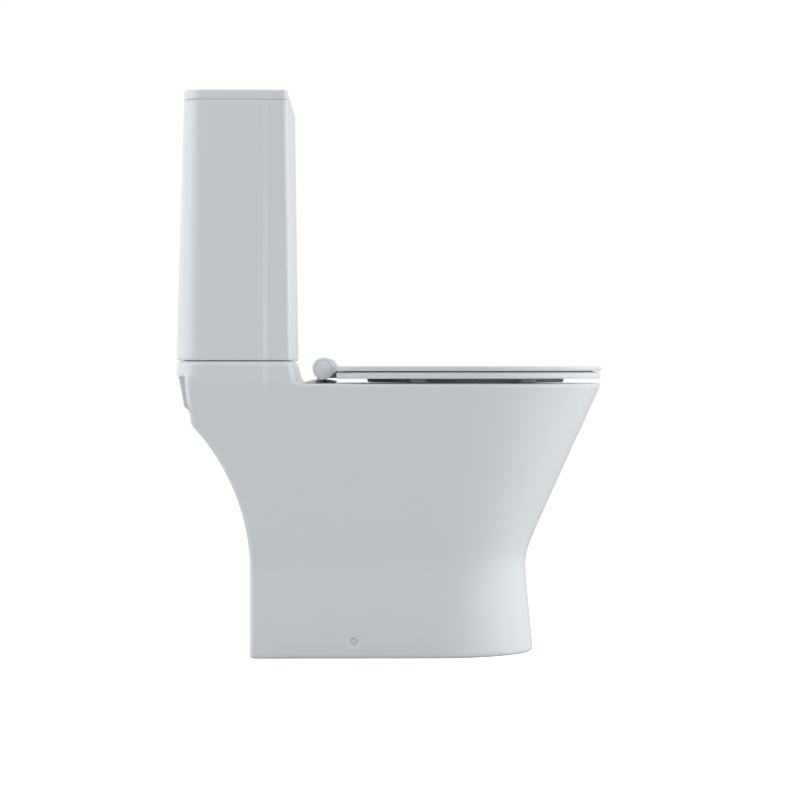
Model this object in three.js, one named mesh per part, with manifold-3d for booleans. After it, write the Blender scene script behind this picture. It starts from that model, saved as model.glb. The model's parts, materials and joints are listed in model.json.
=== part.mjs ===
// Close coupled toilet: a ceramic pan with a rear shelf, a ceramic cistern with its lid, a two-button
// flush, the valves inside the cistern, and a seat with a lid on one common hinge.
// Millimetres, +Z up. The bowl points along -Y, the wall is behind +Y, and Z = 0 is the floor.
import * as THREE from 'three';
import { mergeVertices } from 'three/addons/utils/BufferGeometryUtils.js';
import Module from 'manifold-3d';

const wasm = await Module();
wasm.setup();

// ---------------------------------------------------------------- driving dimensions
const GAP = 0.3;                 // play between two pieces that touch
const ROUND = 16;                // sides of a round piece
const SMALL = 12;                // sides of a fastener and its hole
const FINE = 24;                 // sides of a round piece that shows
const HEX = 6;                   // sides of a nut
const HALF_LENGTH = 312;         // from the middle of the toilet to its front and to its rear
const HALF_WIDTH = 185;          // cistern and shelf
const RIM_Z = 400;               // top of the rim and of the deck behind it
const SHELF_Z = 432;             // top of the shelf that the cistern stands on

// pan
const PAN_WALL = 11;
const DECK_THICKNESS = 12;
const NOSE_HALF_WIDTH = 180;     // rim, where its round nose starts
const FOOT_HALF_WIDTH = 118;
const FOOT_FRONT = 210;          // nose of the foot on the floor
const FRONT_SLOPE = 0.454;       // how fast the front comes out with height, above the waist
const SIDE_SLOPE = 0.252;        // the same for the sides
const FOOT_FRONT_SLOPE = 0.1;    // how fast the foot draws in with height, below the waist
const FOOT_SIDE_SLOPE = 0.04;
const WAIST_SOFTNESS = 4;        // rounding of the waist
const NOSE_START_FOOT = -61;     // where the round nose starts, on the floor and at the rim
const NOSE_START_RIM = -101;
const FOOT_REAR = 210;
const REAR_ARC = { bottom: 130, top: 342, radius: 316 };
const SIDE_REAR = 297.5;         // rear edge of the side walls, under the shelf
const SHELF_EDGE_Z = 412;        // underside of the shelf's rear lip
const SHELF_FRONT = { bottom: 140, top: 147.5, fillet: 10 };
const APRON = { halfWidth: 172, bottom: 362, rearTop: 308.7, rearBottom: 298, wall: 13 };
const RIM_ROUND = 4;
const CREASE = { rear: 188.4, front: 178.4, depth: 2.8, fadeZ: 320 };

// bowl and waterways
const BOWL = {
  rear: 49, front: -266, halfWidth: 137, wall: 9,
  sumpZ: 80, sumpHalf: 42, sumpY: 8, floorShare: 0.65, floorDip: 10,
};
const TRAP = { bore: 33, wall: 9 };
const TRAP_ROUTE = [
  [-10, 112], [30, 104], [70, 128], [98, 175], [124, 208], [150, 205], [176, 182], [202, 180],
];
const OUTLET = { bore: 42, outer: 51, z: 180, start: 158, end: 204 };
const INLET = { bore: 24, wall: 8 };
const INLET_ROUTE = [[230, 402], [226, 378], [200, 356], [150, 350], [90, 352], [38, 356]];
const INLET_WELL = { radius: 52, wall: 9, floorZ: 396.5, floor: 12 };
const SHANK_POCKET = 22;         // hole in the shelf around the fill valve's shank and nut
const FASTENER_HOLE = 6;         // holes for the hinge bolts and the coupling bolts

// cistern
const VALVE_Y = 230;             // flush valve, coupling bolts and buttons stand on this line
const CISTERN = { bottom: 434, top: 804, wall: 9, floor: 10 };
const CISTERN_FRONT = { bottom: 146.6, top: 151.8 };
const CISTERN_REAR = { bottom: 312, top: 300.3 };
const CISTERN_REAR_CORNER = { bottom: 33, top: 26 };
const CISTERN_FRONT_CORNER = 7;
const CISTERN_PAD = { inset: 12, bottom: SHELF_Z + GAP, top: CISTERN.bottom - GAP };
const CISTERN_LID = { top: 818, skin: 7, lip: 8, lipWidth: 8, lipPlay: 2 };

// seat
const HINGE = { y: 102.5, z: 421.8, radius: 15.8, pin: 4, spacing: 77.5, boltY: 108, stem: 8.2 };
const KNUCKLE = { seat: [45, 68], pillar: [69, 86], lid: [87, 110] };
const SEAT = { bottom: 407, top: 416, rear: 79, front: -310.8, halfWidth: 178.5, corner: 25 };
const SEAT_HOLE = { rear: 10, front: -228, halfWidth: 100 };
const SEAT_LIP = { rear: 39, front: -256, halfWidth: 127, bottom: 401.3 };
const SEAT_LID = { bottom: 418, top: 424.8, rear: 84, front: -312, halfWidth: 180, corner: 25 };

// flush button
const BUTTON = { radius: 20.6, top: 821, bottom: 800, split: 5 };
const BUTTON_ROD = { radius: 2.5, bottom: 652, fullX: -7, halfX: 9.5 };
const HOUSING = { bore: 21.4, tube: 24, flange: 29, top: 820.6, bottom: 788, foot: 14 };
const HOUSING_NUT = { outer: 31, bottom: 801 };

// flush valve
const TAIL = { bore: 25, outer: 30, bottom: 404 };
const CAGE = { bore: 37, outer: 42, flange: 46, seatZ: 453, top: 640 };
const CAGE_WINDOW = { width: 36, height: 62, rise: 40 };
const VALVE_WASHER = { outer: 44, thickness: 3 };
const VALVE_CAP = { bore: 16.5, top: 660 };
const FLUSH_SEAL_RADIUS = 32;
const BACK_NUT = { outer: 42, bottom: 420 };
const GASKET = { outer: 49, top: 419.7 };
const LIFT_TUBE = { bore: 13, outer: 15, bottom: 446, top: 620, footRadius: 31, footZ: 457 };

// fill valve
const FILL = { x: 130, y: 262, shank: 10.4, bore: 6, shankEnd: 376, flange: 17, stem: 11 };
const FILL_HEAD = { radius: 20, bottom: 640, top: 666, cap: 6 };
const FILL_WASHER = { outer: 16, thickness: 2 };
const FILL_NUT = { outer: 17, bottom: 421 };
const FORK = { offset: 9, thickness: 5, bottom: 646, top: 660 };
const FLOAT_PIN = 1.5;
const FLOAT_DROOP = 25;          // degrees that the float arm hangs below level in an empty cistern
const FLOAT_ARM = 58;
const FLOAT_PIVOT = { y: 234, z: 653 };

// fasteners
const COUPLING_X = 84;
const COUPLING_BOLT = { radius: 4, bottom: 388, headBottom: 449, headTop: 454, head: 9, washer: 12 };
const WING_NUT = { radius: 8, bottom: 406, wingBottom: 400, wingTop: 411, wingLength: 34 };
const HINGE_BOLT = { radius: 4, bottom: 358, top: 411.7 };
const HINGE_WASHER = { outer: 14, bottom: 384 };
const HINGE_NUT = { outer: 11, bottom: 370 };
const ROSETTE = { radius: 23, height: 5.2 };
const FLOOR_FIXING = { y: 57.7, z: 24.5, hole: 5.5 };
const BRACKET = { halfLength: 18, height: 42, foot: 36, wall: 8, base: 6, hole: 2.8, screwIn: 22 };

// soft pads: each pair stands at plus and minus x
const SEAT_PADS = [['rear', 157, -35], ['front', 139, -193]];
const LID_PADS = [['rear', 150, 20], ['front', 110, -235]];

// ---------------------------------------------------------------- materials
function paint(color, roughness, metalness = 0) {
  return new THREE.MeshStandardMaterial({ color, roughness, metalness });
}
const GLAZE = paint('#f2f5f6', 0.12);
const SEAT_PLASTIC = paint('#f1f3f4', 0.28);
const WHITE_PLASTIC = paint('#e9ebea', 0.45);
const BLUE_PLASTIC = paint('#9fb6c6', 0.5);
const CHROME = paint('#c9cdd0', 0.1, 1);
const STEEL = paint('#a8abac', 0.35, 1);
const BRASS = paint('#b79a55', 0.35, 1);
const RUBBER = paint('#26282a', 0.75);
const CLEAR_RUBBER = paint('#dfe3e2', 0.6);

// ---------------------------------------------------------------- solids
const toRadians = THREE.MathUtils.degToRad;
const lerp = THREE.MathUtils.lerp;

// A closed geometry as a solid that can be joined and cut.
function solid(geometry) {
  const bare = geometry.clone();
  bare.deleteAttribute('normal');
  bare.deleteAttribute('uv');
  const merged = mergeVertices(bare, 1e-4);
  return new wasm.Manifold(new wasm.Mesh({
    numProp: 3,
    vertProperties: new Float32Array(merged.attributes.position.array),
    triVerts: new Uint32Array(merged.index.array),
  }));
}

function join(...geometries) {
  return geometries.map(solid).reduce((all, next) => all.add(next));
}

function geometryOf(shape) {
  const mesh = shape.getMesh();
  const geometry = new THREE.BufferGeometry();
  geometry.setAttribute('position', new THREE.BufferAttribute(new Float32Array(mesh.vertProperties), 3));
  geometry.setIndex(new THREE.BufferAttribute(new Uint32Array(mesh.triVerts), 1));
  geometry.computeVertexNormals();
  return geometry;
}

function box(x0, x1, y0, y1, z0, z1) {
  return new THREE.BoxGeometry(x1 - x0, y1 - y0, z1 - z0)
    .translate((x0 + x1) / 2, (y0 + y1) / 2, (z0 + z1) / 2);
}

// A turned piece about a vertical axis through (x, y): its half section is a list of [radius, z],
// followed anticlockwise with the radius to the right and z up.
function turned(section, x = 0, y = 0, sides = ROUND) {
  const points = [...section, section[0]].map(([radius, z]) => new THREE.Vector2(radius, z));
  return new THREE.LatheGeometry(points, sides).rotateX(Math.PI / 2).translate(x, y, 0);
}

function tube(inner, outer, z0, z1, x = 0, y = 0, sides = ROUND) {
  return turned([[inner, z0], [outer, z0], [outer, z1], [inner, z1]], x, y, sides);
}

function post(radius, z0, z1, x = 0, y = 0, sides = ROUND) {
  return new THREE.CylinderGeometry(radius, radius, z1 - z0, sides)
    .rotateX(Math.PI / 2).translate(x, y, (z0 + z1) / 2);
}

// A nut with flat sides, and a round bore cut with as many sides as the thread it runs on.
function nut(bore, outer, z0, z1, x, y, corners, boreSides) {
  return solid(post(outer, z0, z1, x, y, corners))
    .subtract(solid(post(bore, z0 - 1, z1 + 1, x, y, boreSides)));
}

// A round bar along X from x0 to x1.
function bar(radius, x0, x1, y, z, sides = ROUND) {
  return new THREE.CylinderGeometry(radius, radius, Math.abs(x1 - x0), sides)
    .rotateZ(Math.PI / 2).translate((x0 + x1) / 2, y, z);
}

// A shape drawn in Y and Z, pushed out along X from x0 to x1.
function slab(points, x0, x1) {
  const shape = new THREE.Shape(points.map(([y, z]) => new THREE.Vector2(y, z)));
  return new THREE.ExtrudeGeometry(shape, { depth: x1 - x0, bevelEnabled: false })
    .rotateX(Math.PI / 2).rotateZ(Math.PI / 2).translate(x0, 0, 0);
}

// A round pipe along a smooth curve in the middle plane, through points given as [y, z].
function pipe(points, radius, sides = 6, steps = 12) {
  const curve = new THREE.CatmullRomCurve3(points.map(([y, z]) => new THREE.Vector3(0, y, z)));
  const section = new THREE.Shape();
  section.absarc(0, 0, radius, 0, 2 * Math.PI);
  return new THREE.ExtrudeGeometry(section, {
    steps, extrudePath: curve, bevelEnabled: false, curveSegments: sides,
  });
}

// A skin through level outlines, closed at both ends. Each level is { z, outline }, and every
// outline has the same number of points, anticlockwise seen from above.
function loft(levels) {
  const count = levels[0].outline.length;
  const positions = levels.flatMap(({ z, outline }) => outline.flatMap((p) => [p.x, p.y, z]));
  const triangles = [];
  for (let level = 0; level + 1 < levels.length; level += 1) {
    for (let i = 0; i < count; i += 1) {
      const a = level * count + i;
      const b = level * count + ((i + 1) % count);
      triangles.push(a, b, b + count, a, b + count, a + count);
    }
  }
  const last = (levels.length - 1) * count;
  for (const [a, b, c] of THREE.ShapeUtils.triangulateShape(levels[0].outline, [])) {
    triangles.push(c, b, a);
  }
  for (const [a, b, c] of THREE.ShapeUtils.triangulateShape(levels.at(-1).outline, [])) {
    triangles.push(last + a, last + b, last + c);
  }
  const geometry = new THREE.BufferGeometry();
  geometry.setAttribute('position', new THREE.Float32BufferAttribute(positions, 3));
  geometry.setIndex(triangles);
  return geometry;
}

// ---------------------------------------------------------------- outlines, seen from above
function arc(x, y, radiusX, radiusY, from, to, steps) {
  return Array.from({ length: steps + 1 }, (_, i) => {
    const angle = toRadians(lerp(from, to, i / steps));
    return new THREE.Vector2(x + radiusX * Math.cos(angle), y + radiusY * Math.sin(angle));
  });
}

function oval({ rear, front, halfWidth }, grow = 0, steps = 28) {
  const radiusY = (rear - front) / 2 + grow;
  return arc(0, (rear + front) / 2, halfWidth + grow, radiusY, 0, 360, steps).slice(0, -1);
}

// Straight sides, rounded rear corners and an oval nose: the seat and its lid.
function seatOutline({ rear, front, halfWidth, corner }, inset) {
  const half = halfWidth - inset;
  const radius = corner - inset;
  const back = rear - inset;
  return [
    ...arc(-half + radius, back - radius, radius, radius, 90, 180, 5),
    ...arc(0, NOSE_START_RIM, half, NOSE_START_RIM - front - inset, 180, 360, 32),
    ...arc(half - radius, back - radius, radius, radius, 0, 90, 5),
  ];
}

// The larger of two values, with a soft change from one to the other.
function softMax(a, b) {
  return (a + b) / 2 + Math.hypot((a - b) / 2, WAIST_SOFTNESS);
}

function smooth(value, from, to) {
  return THREE.MathUtils.smoothstep(value, from, to);
}

// Outline of the pan's body at height z, drawn in by inset in front of the shelf. rearOverride
// pushes the rear edge out, for the hollow that is open at the back.
function panOutline(z, inset, wall = 0, rearOverride = null) {
  const down = RIM_Z - z;
  const front = softMax(FOOT_FRONT - FOOT_FRONT_SLOPE * z, HALF_LENGTH - FRONT_SLOPE * down);
  const side = softMax(FOOT_HALF_WIDTH - FOOT_SIDE_SLOPE * z, NOSE_HALF_WIDTH - SIDE_SLOPE * down);
  const noseStart = lerp(NOSE_START_FOOT, NOSE_START_RIM, z / RIM_Z);
  const deckFront = SHELF_FRONT.bottom - SHELF_FRONT.fillet;
  const widening = (HALF_WIDTH - GAP - NOSE_HALF_WIDTH) * (z / RIM_Z);
  const crease = CREASE.depth * smooth(z, CREASE.fadeZ, RIM_Z);
  const halfAt = (y, drawnIn) => side + widening * Math.min((y - noseStart) / (deckFront - noseStart), 1)
    - (y < CREASE.rear ? crease : 0) - wall - drawnIn;
  const sidePoints = [
    [rearOverride ?? panRear(z), 0], [CREASE.rear, 0], [CREASE.front, 0], [deckFront, 0],
    [deckFront - 8, inset],
  ];
  const left = sidePoints.map(([y, drawnIn]) => new THREE.Vector2(-halfAt(y, drawnIn), y));
  const right = left.map((p) => new THREE.Vector2(-p.x, p.y)).reverse();
  const steps = wall > 0 ? 16 : 32;
  const noseLength = front + noseStart - wall - inset;
  const nose = arc(0, noseStart, halfAt(noseStart, inset), noseLength, 180, 360, steps);
  return [...left, ...nose, ...right];
}

// Rear edge of the pan's side walls: upright at the foot, then an arc back to the shelf.
function panRear(z) {
  const { bottom, top, radius } = REAR_ARC;
  const rise = THREE.MathUtils.clamp(z - bottom, 0, top - bottom);
  const arcRear = FOOT_REAR + radius - Math.sqrt(radius ** 2 - rise ** 2);
  if (z <= top) {
    return arcRear;
  }
  return lerp(arcRear, SIDE_REAR, (z - top) / (SHELF_EDGE_Z - top));
}

// Outline of the cistern, its lid and the shelf: square in front, round corners at the rear, and
// the soft crease down each side.
function boxOutline({ front, rear, frontCorner, rearCorner, crease }, inset) {
  const rearHalf = HALF_WIDTH - inset;
  const frontHalf = HALF_WIDTH - crease - inset;
  const r = Math.max(frontCorner - inset, 0.5);
  const big = Math.max(rearCorner - inset, 0.5);
  const left = [
    ...arc(-rearHalf + big, rear - inset - big, big, big, 90, 180, 8),
    new THREE.Vector2(-rearHalf, CREASE.rear),
    new THREE.Vector2(-frontHalf, CREASE.front),
    ...arc(-frontHalf + r, front + inset + r, r, r, 180, 270, 4),
  ];
  const right = left.map((p) => new THREE.Vector2(-p.x, p.y)).reverse();
  return [...left, ...right];
}

function cisternOutline(z, inset) {
  const t = (z - CISTERN.bottom) / (CISTERN.top - CISTERN.bottom);
  return boxOutline({
    front: lerp(CISTERN_FRONT.bottom, CISTERN_FRONT.top, t),
    rear: lerp(CISTERN_REAR.bottom, CISTERN_REAR.top, t),
    frontCorner: CISTERN_FRONT_CORNER,
    rearCorner: lerp(CISTERN_REAR_CORNER.bottom, CISTERN_REAR_CORNER.top, t),
    crease: CREASE.depth * (1 - t / 2),
  }, inset);
}

// ---------------------------------------------------------------- pan
function panBody() {
  const rises = [0, 100, 117, 130, 143, 158, 180, 215, 250, 285, 317, 342, 370];
  const levels = rises.map((z) => ({ z, outline: panOutline(z, 0) }));
  for (const angle of [0, 30, 60, 90]) {
    const drawnIn = RIM_ROUND * (1 - Math.cos(toRadians(angle)));
    const z = RIM_Z - RIM_ROUND * (1 - Math.sin(toRadians(angle)));
    levels.push({ z, outline: panOutline(z, drawnIn) });
  }
  return loft(levels);
}

// The hollow under the bowl: open at the floor and, below the apron, at the back.
function panHollow() {
  const upTo = (zs, rear) => loft(zs.map((z) => ({ z, outline: panOutline(z, 0, PAN_WALL, rear) })));
  return join(
    upTo([-1, 90, 118, 142, 180, 260, APRON.bottom], HALF_LENGTH + 20),
    upTo([APRON.bottom - 1, RIM_Z - DECK_THICKNESS], APRON.rearBottom - APRON.wall),
    box(APRON.wall - APRON.halfWidth, APRON.halfWidth - APRON.wall, SHELF_FRONT.top + PAN_WALL,
      APRON.rearBottom - APRON.wall - 1, RIM_Z - DECK_THICKNESS - 1, SHELF_Z - DECK_THICKNESS),
  );
}

function shelfFrontAt(z) {
  const lean = lerp(SHELF_FRONT.bottom, SHELF_FRONT.top, (z - RIM_Z) / (SHELF_Z - RIM_Z));
  const below = Math.max(SHELF_FRONT.fillet - (z - RIM_Z), 0);
  return lean - SHELF_FRONT.fillet + Math.sqrt(SHELF_FRONT.fillet ** 2 - below ** 2);
}

function shelfLevel(z, rear, rearCorner, inset) {
  const outline = boxOutline({
    front: shelfFrontAt(Math.max(z, RIM_Z)), rear, frontCorner: CISTERN_FRONT_CORNER, rearCorner,
    crease: CREASE.depth,
  }, inset);
  return { z, outline };
}

// The block under the cistern: a riser on the deck, and a lip that reaches the wall line.
function shelf() {
  const riser = [RIM_Z - 4, RIM_Z, RIM_Z + 2, RIM_Z + 5, RIM_Z + 10, SHELF_EDGE_Z + 1]
    .map((z) => shelfLevel(z, panRear(z) + (z < RIM_Z ? -1 : GAP), 2, z < RIM_Z ? 2 : 0));
  const lip = [
    shelfLevel(SHELF_EDGE_Z, HALF_LENGTH, CISTERN_REAR_CORNER.bottom, 0),
    shelfLevel(SHELF_Z - 6, HALF_LENGTH, CISTERN_REAR_CORNER.bottom, 0),
    shelfLevel(SHELF_Z - 3, HALF_LENGTH, CISTERN_REAR_CORNER.bottom, 0.8),
    shelfLevel(SHELF_Z - 0.8, HALF_LENGTH, CISTERN_REAR_CORNER.bottom, 3),
    shelfLevel(SHELF_Z, HALF_LENGTH, CISTERN_REAR_CORNER.bottom, 6),
  ];
  const apron = slab([
    [200, APRON.bottom], [APRON.rearBottom - 6, APRON.bottom], [APRON.rearBottom + 2, APRON.bottom + 4],
    [APRON.rearTop, SHELF_EDGE_Z + 1], [200, SHELF_EDGE_Z + 1],
  ], -APRON.halfWidth, APRON.halfWidth);
  return join(loft(riser), loft(lip), apron);
}

// A level through the bowl's inside, grown by the wall for its outside.
function bowlLevel(t, grow) {
  const open = Math.cos(t * Math.PI / 2);
  const halfLength = lerp(BOWL.sumpHalf, (BOWL.rear - BOWL.front) / 2, open);
  const middle = lerp(BOWL.sumpY, (BOWL.rear + BOWL.front) / 2, open);
  return {
    z: lerp(RIM_Z, BOWL.sumpZ, t),
    outline: oval({
      rear: middle + halfLength, front: middle - halfLength,
      halfWidth: lerp(BOWL.sumpHalf - 4, BOWL.halfWidth, open),
    }, grow, grow > 5 ? 16 : 28),
  };
}

function bowl(grow) {
  const levels = [1, 0.85, 0.7, 0.55, 0.4, 0.25, 0.12, 0.02].map((t) => bowlLevel(t, grow));
  const floor = bowlLevel(1, grow).outline.map((p) => (
    new THREE.Vector2(p.x * BOWL.floorShare, BOWL.sumpY + (p.y - BOWL.sumpY) * BOWL.floorShare)
  ));
  const bottom = { z: BOWL.sumpZ - BOWL.floorDip - grow, outline: floor };
  const mouth = grow > 0 ? [{ z: RIM_Z - 2, outline: bowlLevel(0, grow).outline }] : [
    { z: RIM_Z - 3, outline: bowlLevel(0, 0).outline },
    { z: RIM_Z + 0.01, outline: bowlLevel(0, 3).outline },
    { z: RIM_Z + 2, outline: bowlLevel(0, 3).outline },
  ];
  return loft([bottom, ...levels.filter(({ z }) => z < RIM_Z - 4), ...mouth]);
}

function cutAll(start, cuts) {
  return cuts.reduce((rest, cut) => rest.subtract(solid(cut)), start);
}

// The pan is one casting. It is drawn as four solids with the usual play between them: the skirt
// with its deck and shelf, the bowl under the deck, the flush duct and the trapway.
function pan() {
  const { radius, wall, floorZ, floor } = INLET_WELL;
  const well = post(radius + wall, floorZ - floor, SHELF_Z - 2, 0, VALVE_Y, FINE);
  const skirt = solid(panBody()).add(shelf()).subtract(panHollow()).add(solid(well));
  const cuts = [
    bowl(0),
    pipe(INLET_ROUTE, INLET.bore),
    post(radius, floorZ, SHELF_Z + 2, 0, VALVE_Y, FINE),
    post(SHANK_POCKET, SHELF_Z - 30, SHELF_Z + 2, FILL.x, FILL.y),
  ];
  for (const side of [-1, 1]) {
    cuts.push(
      post(FASTENER_HOLE, SHELF_Z - 30, SHELF_Z + 2, side * COUPLING_X, VALVE_Y, SMALL),
      post(FASTENER_HOLE, RIM_Z - 20, RIM_Z + 2, side * HINGE.spacing, HINGE.boltY, SMALL),
      bar(FLOOR_FIXING.hole, side * 90, side * 130, FLOOR_FIXING.y, FLOOR_FIXING.z),
    );
  }
  return cutAll(skirt, cuts);
}

// Everything from height z upwards.
function above(z) {
  return box(-HALF_WIDTH, HALF_WIDTH, -HALF_LENGTH, HALF_LENGTH, z, SHELF_Z + 2);
}

function bowlBasin() {
  return cutAll(solid(bowl(BOWL.wall)), [
    bowl(0), pipe(TRAP_ROUTE, TRAP.bore), pipe(INLET_ROUTE, INLET.bore),
    above(RIM_Z - DECK_THICKNESS - GAP),
  ]);
}

function flushDuct() {
  return cutAll(solid(pipe(INLET_ROUTE, INLET.bore + INLET.wall)), [
    bowl(BOWL.wall + GAP), pipe(INLET_ROUTE, INLET.bore),
    above(INLET_WELL.floorZ - INLET_WELL.floor - GAP),
  ]);
}

function trapway() {
  const spigot = (radius, shift) => (
    new THREE.CylinderGeometry(radius, radius, OUTLET.end - OUTLET.start, FINE)
      .translate(0, (OUTLET.end + OUTLET.start) / 2 + shift, OUTLET.z)
  );
  return cutAll(join(pipe(TRAP_ROUTE, TRAP.bore + TRAP.wall), spigot(OUTLET.outer, 0)), [
    bowl(BOWL.wall + GAP), pipe(TRAP_ROUTE, TRAP.bore), spigot(OUTLET.bore, 12),
  ]);
}

// ---------------------------------------------------------------- cistern
function cistern() {
  const outside = [[0, 3], [1, 1.2], [3, 0]].map(([rise, inset]) => ({
    z: CISTERN.bottom + rise, outline: cisternOutline(CISTERN.bottom + rise, inset),
  }));
  outside.push({ z: CISTERN.top, outline: cisternOutline(CISTERN.top, 0) });
  const inside = [CISTERN.bottom + CISTERN.floor, CISTERN.top + 2]
    .map((z) => ({ z, outline: cisternOutline(z, CISTERN.wall) }));
  const through = (radius, x, y, sides) => (
    post(radius, CISTERN.bottom - 2, CISTERN.bottom + CISTERN.floor + 2, x, y, sides)
  );
  return cutAll(solid(loft(outside)), [
    loft(inside),
    through(TAIL.outer + 2, 0, VALVE_Y, FINE),
    through(COUPLING_BOLT.radius + 1.5, -COUPLING_X, VALVE_Y, SMALL),
    through(COUPLING_BOLT.radius + 1.5, COUPLING_X, VALVE_Y, SMALL),
    through(FILL.shank + 2, FILL.x, FILL.y, ROUND),
  ]);
}

// The mat that the cistern stands on, open over the well, the bolts and the fill valve's nut.
function cisternPad() {
  const { inset, bottom, top } = CISTERN_PAD;
  const level = (z) => ({ z, outline: cisternOutline(CISTERN.bottom, inset) });
  const through = (radius, x, y, sides) => post(radius, bottom - 1, top + 1, x, y, sides);
  return cutAll(solid(loft([level(bottom), level(top)])), [
    through(INLET_WELL.radius, 0, VALVE_Y, FINE),
    through(FASTENER_HOLE, -COUPLING_X, VALVE_Y, SMALL),
    through(FASTENER_HOLE, COUPLING_X, VALVE_Y, SMALL),
    through(SHANK_POCKET, FILL.x, FILL.y, ROUND),
  ]);
}

function cisternLid() {
  const base = CISTERN.top + GAP;
  const level = (z, inset) => ({ z, outline: cisternOutline(CISTERN.top, inset) });
  const lipOut = CISTERN.wall + CISTERN_LID.lipPlay;
  const plate = loft([
    level(base, 0.8), level(base + 0.8, 0), level(CISTERN_LID.top - 2.5, 0),
    level(CISTERN_LID.top - 0.7, 0.7), level(CISTERN_LID.top, 2.5),
  ]);
  const lip = loft([level(base - CISTERN_LID.lip, lipOut), level(base + 1, lipOut)]);
  const hollow = loft([
    level(base - CISTERN_LID.lip - 1, lipOut + CISTERN_LID.lipWidth),
    level(CISTERN_LID.top - CISTERN_LID.skin, lipOut + CISTERN_LID.lipWidth),
  ]);
  const buttonHole = post(HOUSING.tube + 0.6, base - 5, CISTERN_LID.top + 2, 0, VALVE_Y, FINE);
  return cutAll(join(plate, lip), [hollow, buttonHole]);
}

// ---------------------------------------------------------------- flush button
function buttonHousing() {
  const { bore, tube: outer, flange, foot, top, bottom } = HOUSING;
  const seatZ = CISTERN_LID.top + GAP;
  return turned([
    [foot, bottom], [outer, bottom], [outer, seatZ], [flange, seatZ], [flange, top - 0.8],
    [flange - 0.8, top], [bore, top], [bore, bottom + 3], [foot, bottom + 3],
  ], 0, VALVE_Y, FINE);
}

// One of the two buttons: the part of a disc on one side of the split, on its push rod.
function button(side) {
  const { radius, top, bottom, split } = BUTTON;
  const disc = turned([
    [0, bottom], [radius, bottom], [radius, top - 1], [radius - 1, top], [0, top],
  ], 0, VALVE_Y, FINE);
  const reach = side > 0 ? [split + GAP, 2 * radius] : [-2 * radius, split - GAP];
  const half = box(...reach, VALVE_Y - 2 * radius, VALVE_Y + 2 * radius, bottom - 1, top + 1);
  const rodX = side > 0 ? BUTTON_ROD.halfX : BUTTON_ROD.fullX;
  const rod = post(BUTTON_ROD.radius, BUTTON_ROD.bottom, bottom + 2, rodX, VALVE_Y, SMALL);
  return solid(disc).intersect(solid(half)).add(solid(rod));
}

// ---------------------------------------------------------------- flush valve
function flushValveBody() {
  const flangeZ = CISTERN.bottom + CISTERN.floor + VALVE_WASHER.thickness + 2 * GAP;
  const body = turned([
    [TAIL.bore, TAIL.bottom], [TAIL.outer, TAIL.bottom], [TAIL.outer, flangeZ],
    [CAGE.flange, flangeZ], [CAGE.flange, CAGE.seatZ], [CAGE.outer, CAGE.seatZ],
    [CAGE.outer, CAGE.top], [CAGE.bore, CAGE.top], [CAGE.bore, CAGE.seatZ],
    [TAIL.bore, CAGE.seatZ],
  ], 0, VALVE_Y);
  const { width, height, rise } = CAGE_WINDOW;
  return cutAll(solid(body), [45, 135].map((turn) => (
    new THREE.BoxGeometry(3 * CAGE.outer, width, height).rotateZ(toRadians(turn))
      .translate(0, VALVE_Y, CAGE.seatZ + rise)
  )));
}

function flushValveCap() {
  const cap = tube(VALVE_CAP.bore, CAGE.outer, CAGE.top + GAP, VALVE_CAP.top, 0, VALVE_Y);
  const bridge = box(-20, 20, VALVE_Y - 5, VALVE_Y + 5, CAGE.top + 6, VALVE_CAP.top);
  return cutAll(join(cap, bridge), [BUTTON_ROD.fullX, BUTTON_ROD.halfX].map((x) => (
    post(BUTTON_ROD.radius + 0.8, CAGE.top - 2, VALVE_CAP.top + 2, x, VALVE_Y, SMALL)
  )));
}

function liftTube() {
  const { bore, outer, bottom, top, footRadius, footZ } = LIFT_TUBE;
  return turned([
    [bore, bottom], [outer, bottom], [outer, footZ], [footRadius, footZ], [footRadius, footZ + 3],
    [outer, footZ + 3], [outer, top], [bore, top],
  ], 0, VALVE_Y);
}

// ---------------------------------------------------------------- fill valve
function fillValveBody() {
  const flangeZ = CISTERN.bottom + CISTERN.floor + FILL_WASHER.thickness + 2 * GAP;
  const { radius, bottom, top, cap } = FILL_HEAD;
  const stem = turned([
    [FILL.bore, FILL.shankEnd], [FILL.shank, FILL.shankEnd], [FILL.shank, flangeZ],
    [FILL.flange, flangeZ], [FILL.flange, flangeZ + 4], [FILL.stem, flangeZ + 4],
    [FILL.stem, bottom], [radius, bottom], [radius, top], [0, top], [0, top - cap],
    [FILL.bore, top - cap],
  ], FILL.x, FILL.y);
  const fork = [-1, 1].map((side) => {
    const middle = FILL.x + side * FORK.offset;
    return box(middle - FORK.thickness / 2, middle + FORK.thickness / 2,
      FLOAT_PIVOT.y - 6, FILL.y - 15, FORK.bottom, FORK.top);
  });
  const pinHole = bar(FLOAT_PIN + GAP, FILL.x - radius, FILL.x + radius,
    FLOAT_PIVOT.y, FLOAT_PIVOT.z, SMALL);
  return cutAll(join(stem, ...fork), [pinHole]);
}

// The arm turns in the fork of the fill valve's head. Drawn level, with its pivot at the origin.
function floatArm() {
  const hub = bar(4, -6, 6, 0, 0, SMALL);
  const pin = bar(FLOAT_PIN, -11, 11, 0, 0, SMALL);
  const beam = box(-4, 4, -FLOAT_ARM, 0, -3, 3);
  const peg = box(-4, 4, -FLOAT_ARM, -FLOAT_ARM + 8, -22, 0);
  return join(hub, pin, beam, peg);
}

function floatCup() {
  return solid(box(-22, 22, -FLOAT_ARM - 6, -FLOAT_ARM + 40, -64, -22.5));
}

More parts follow.
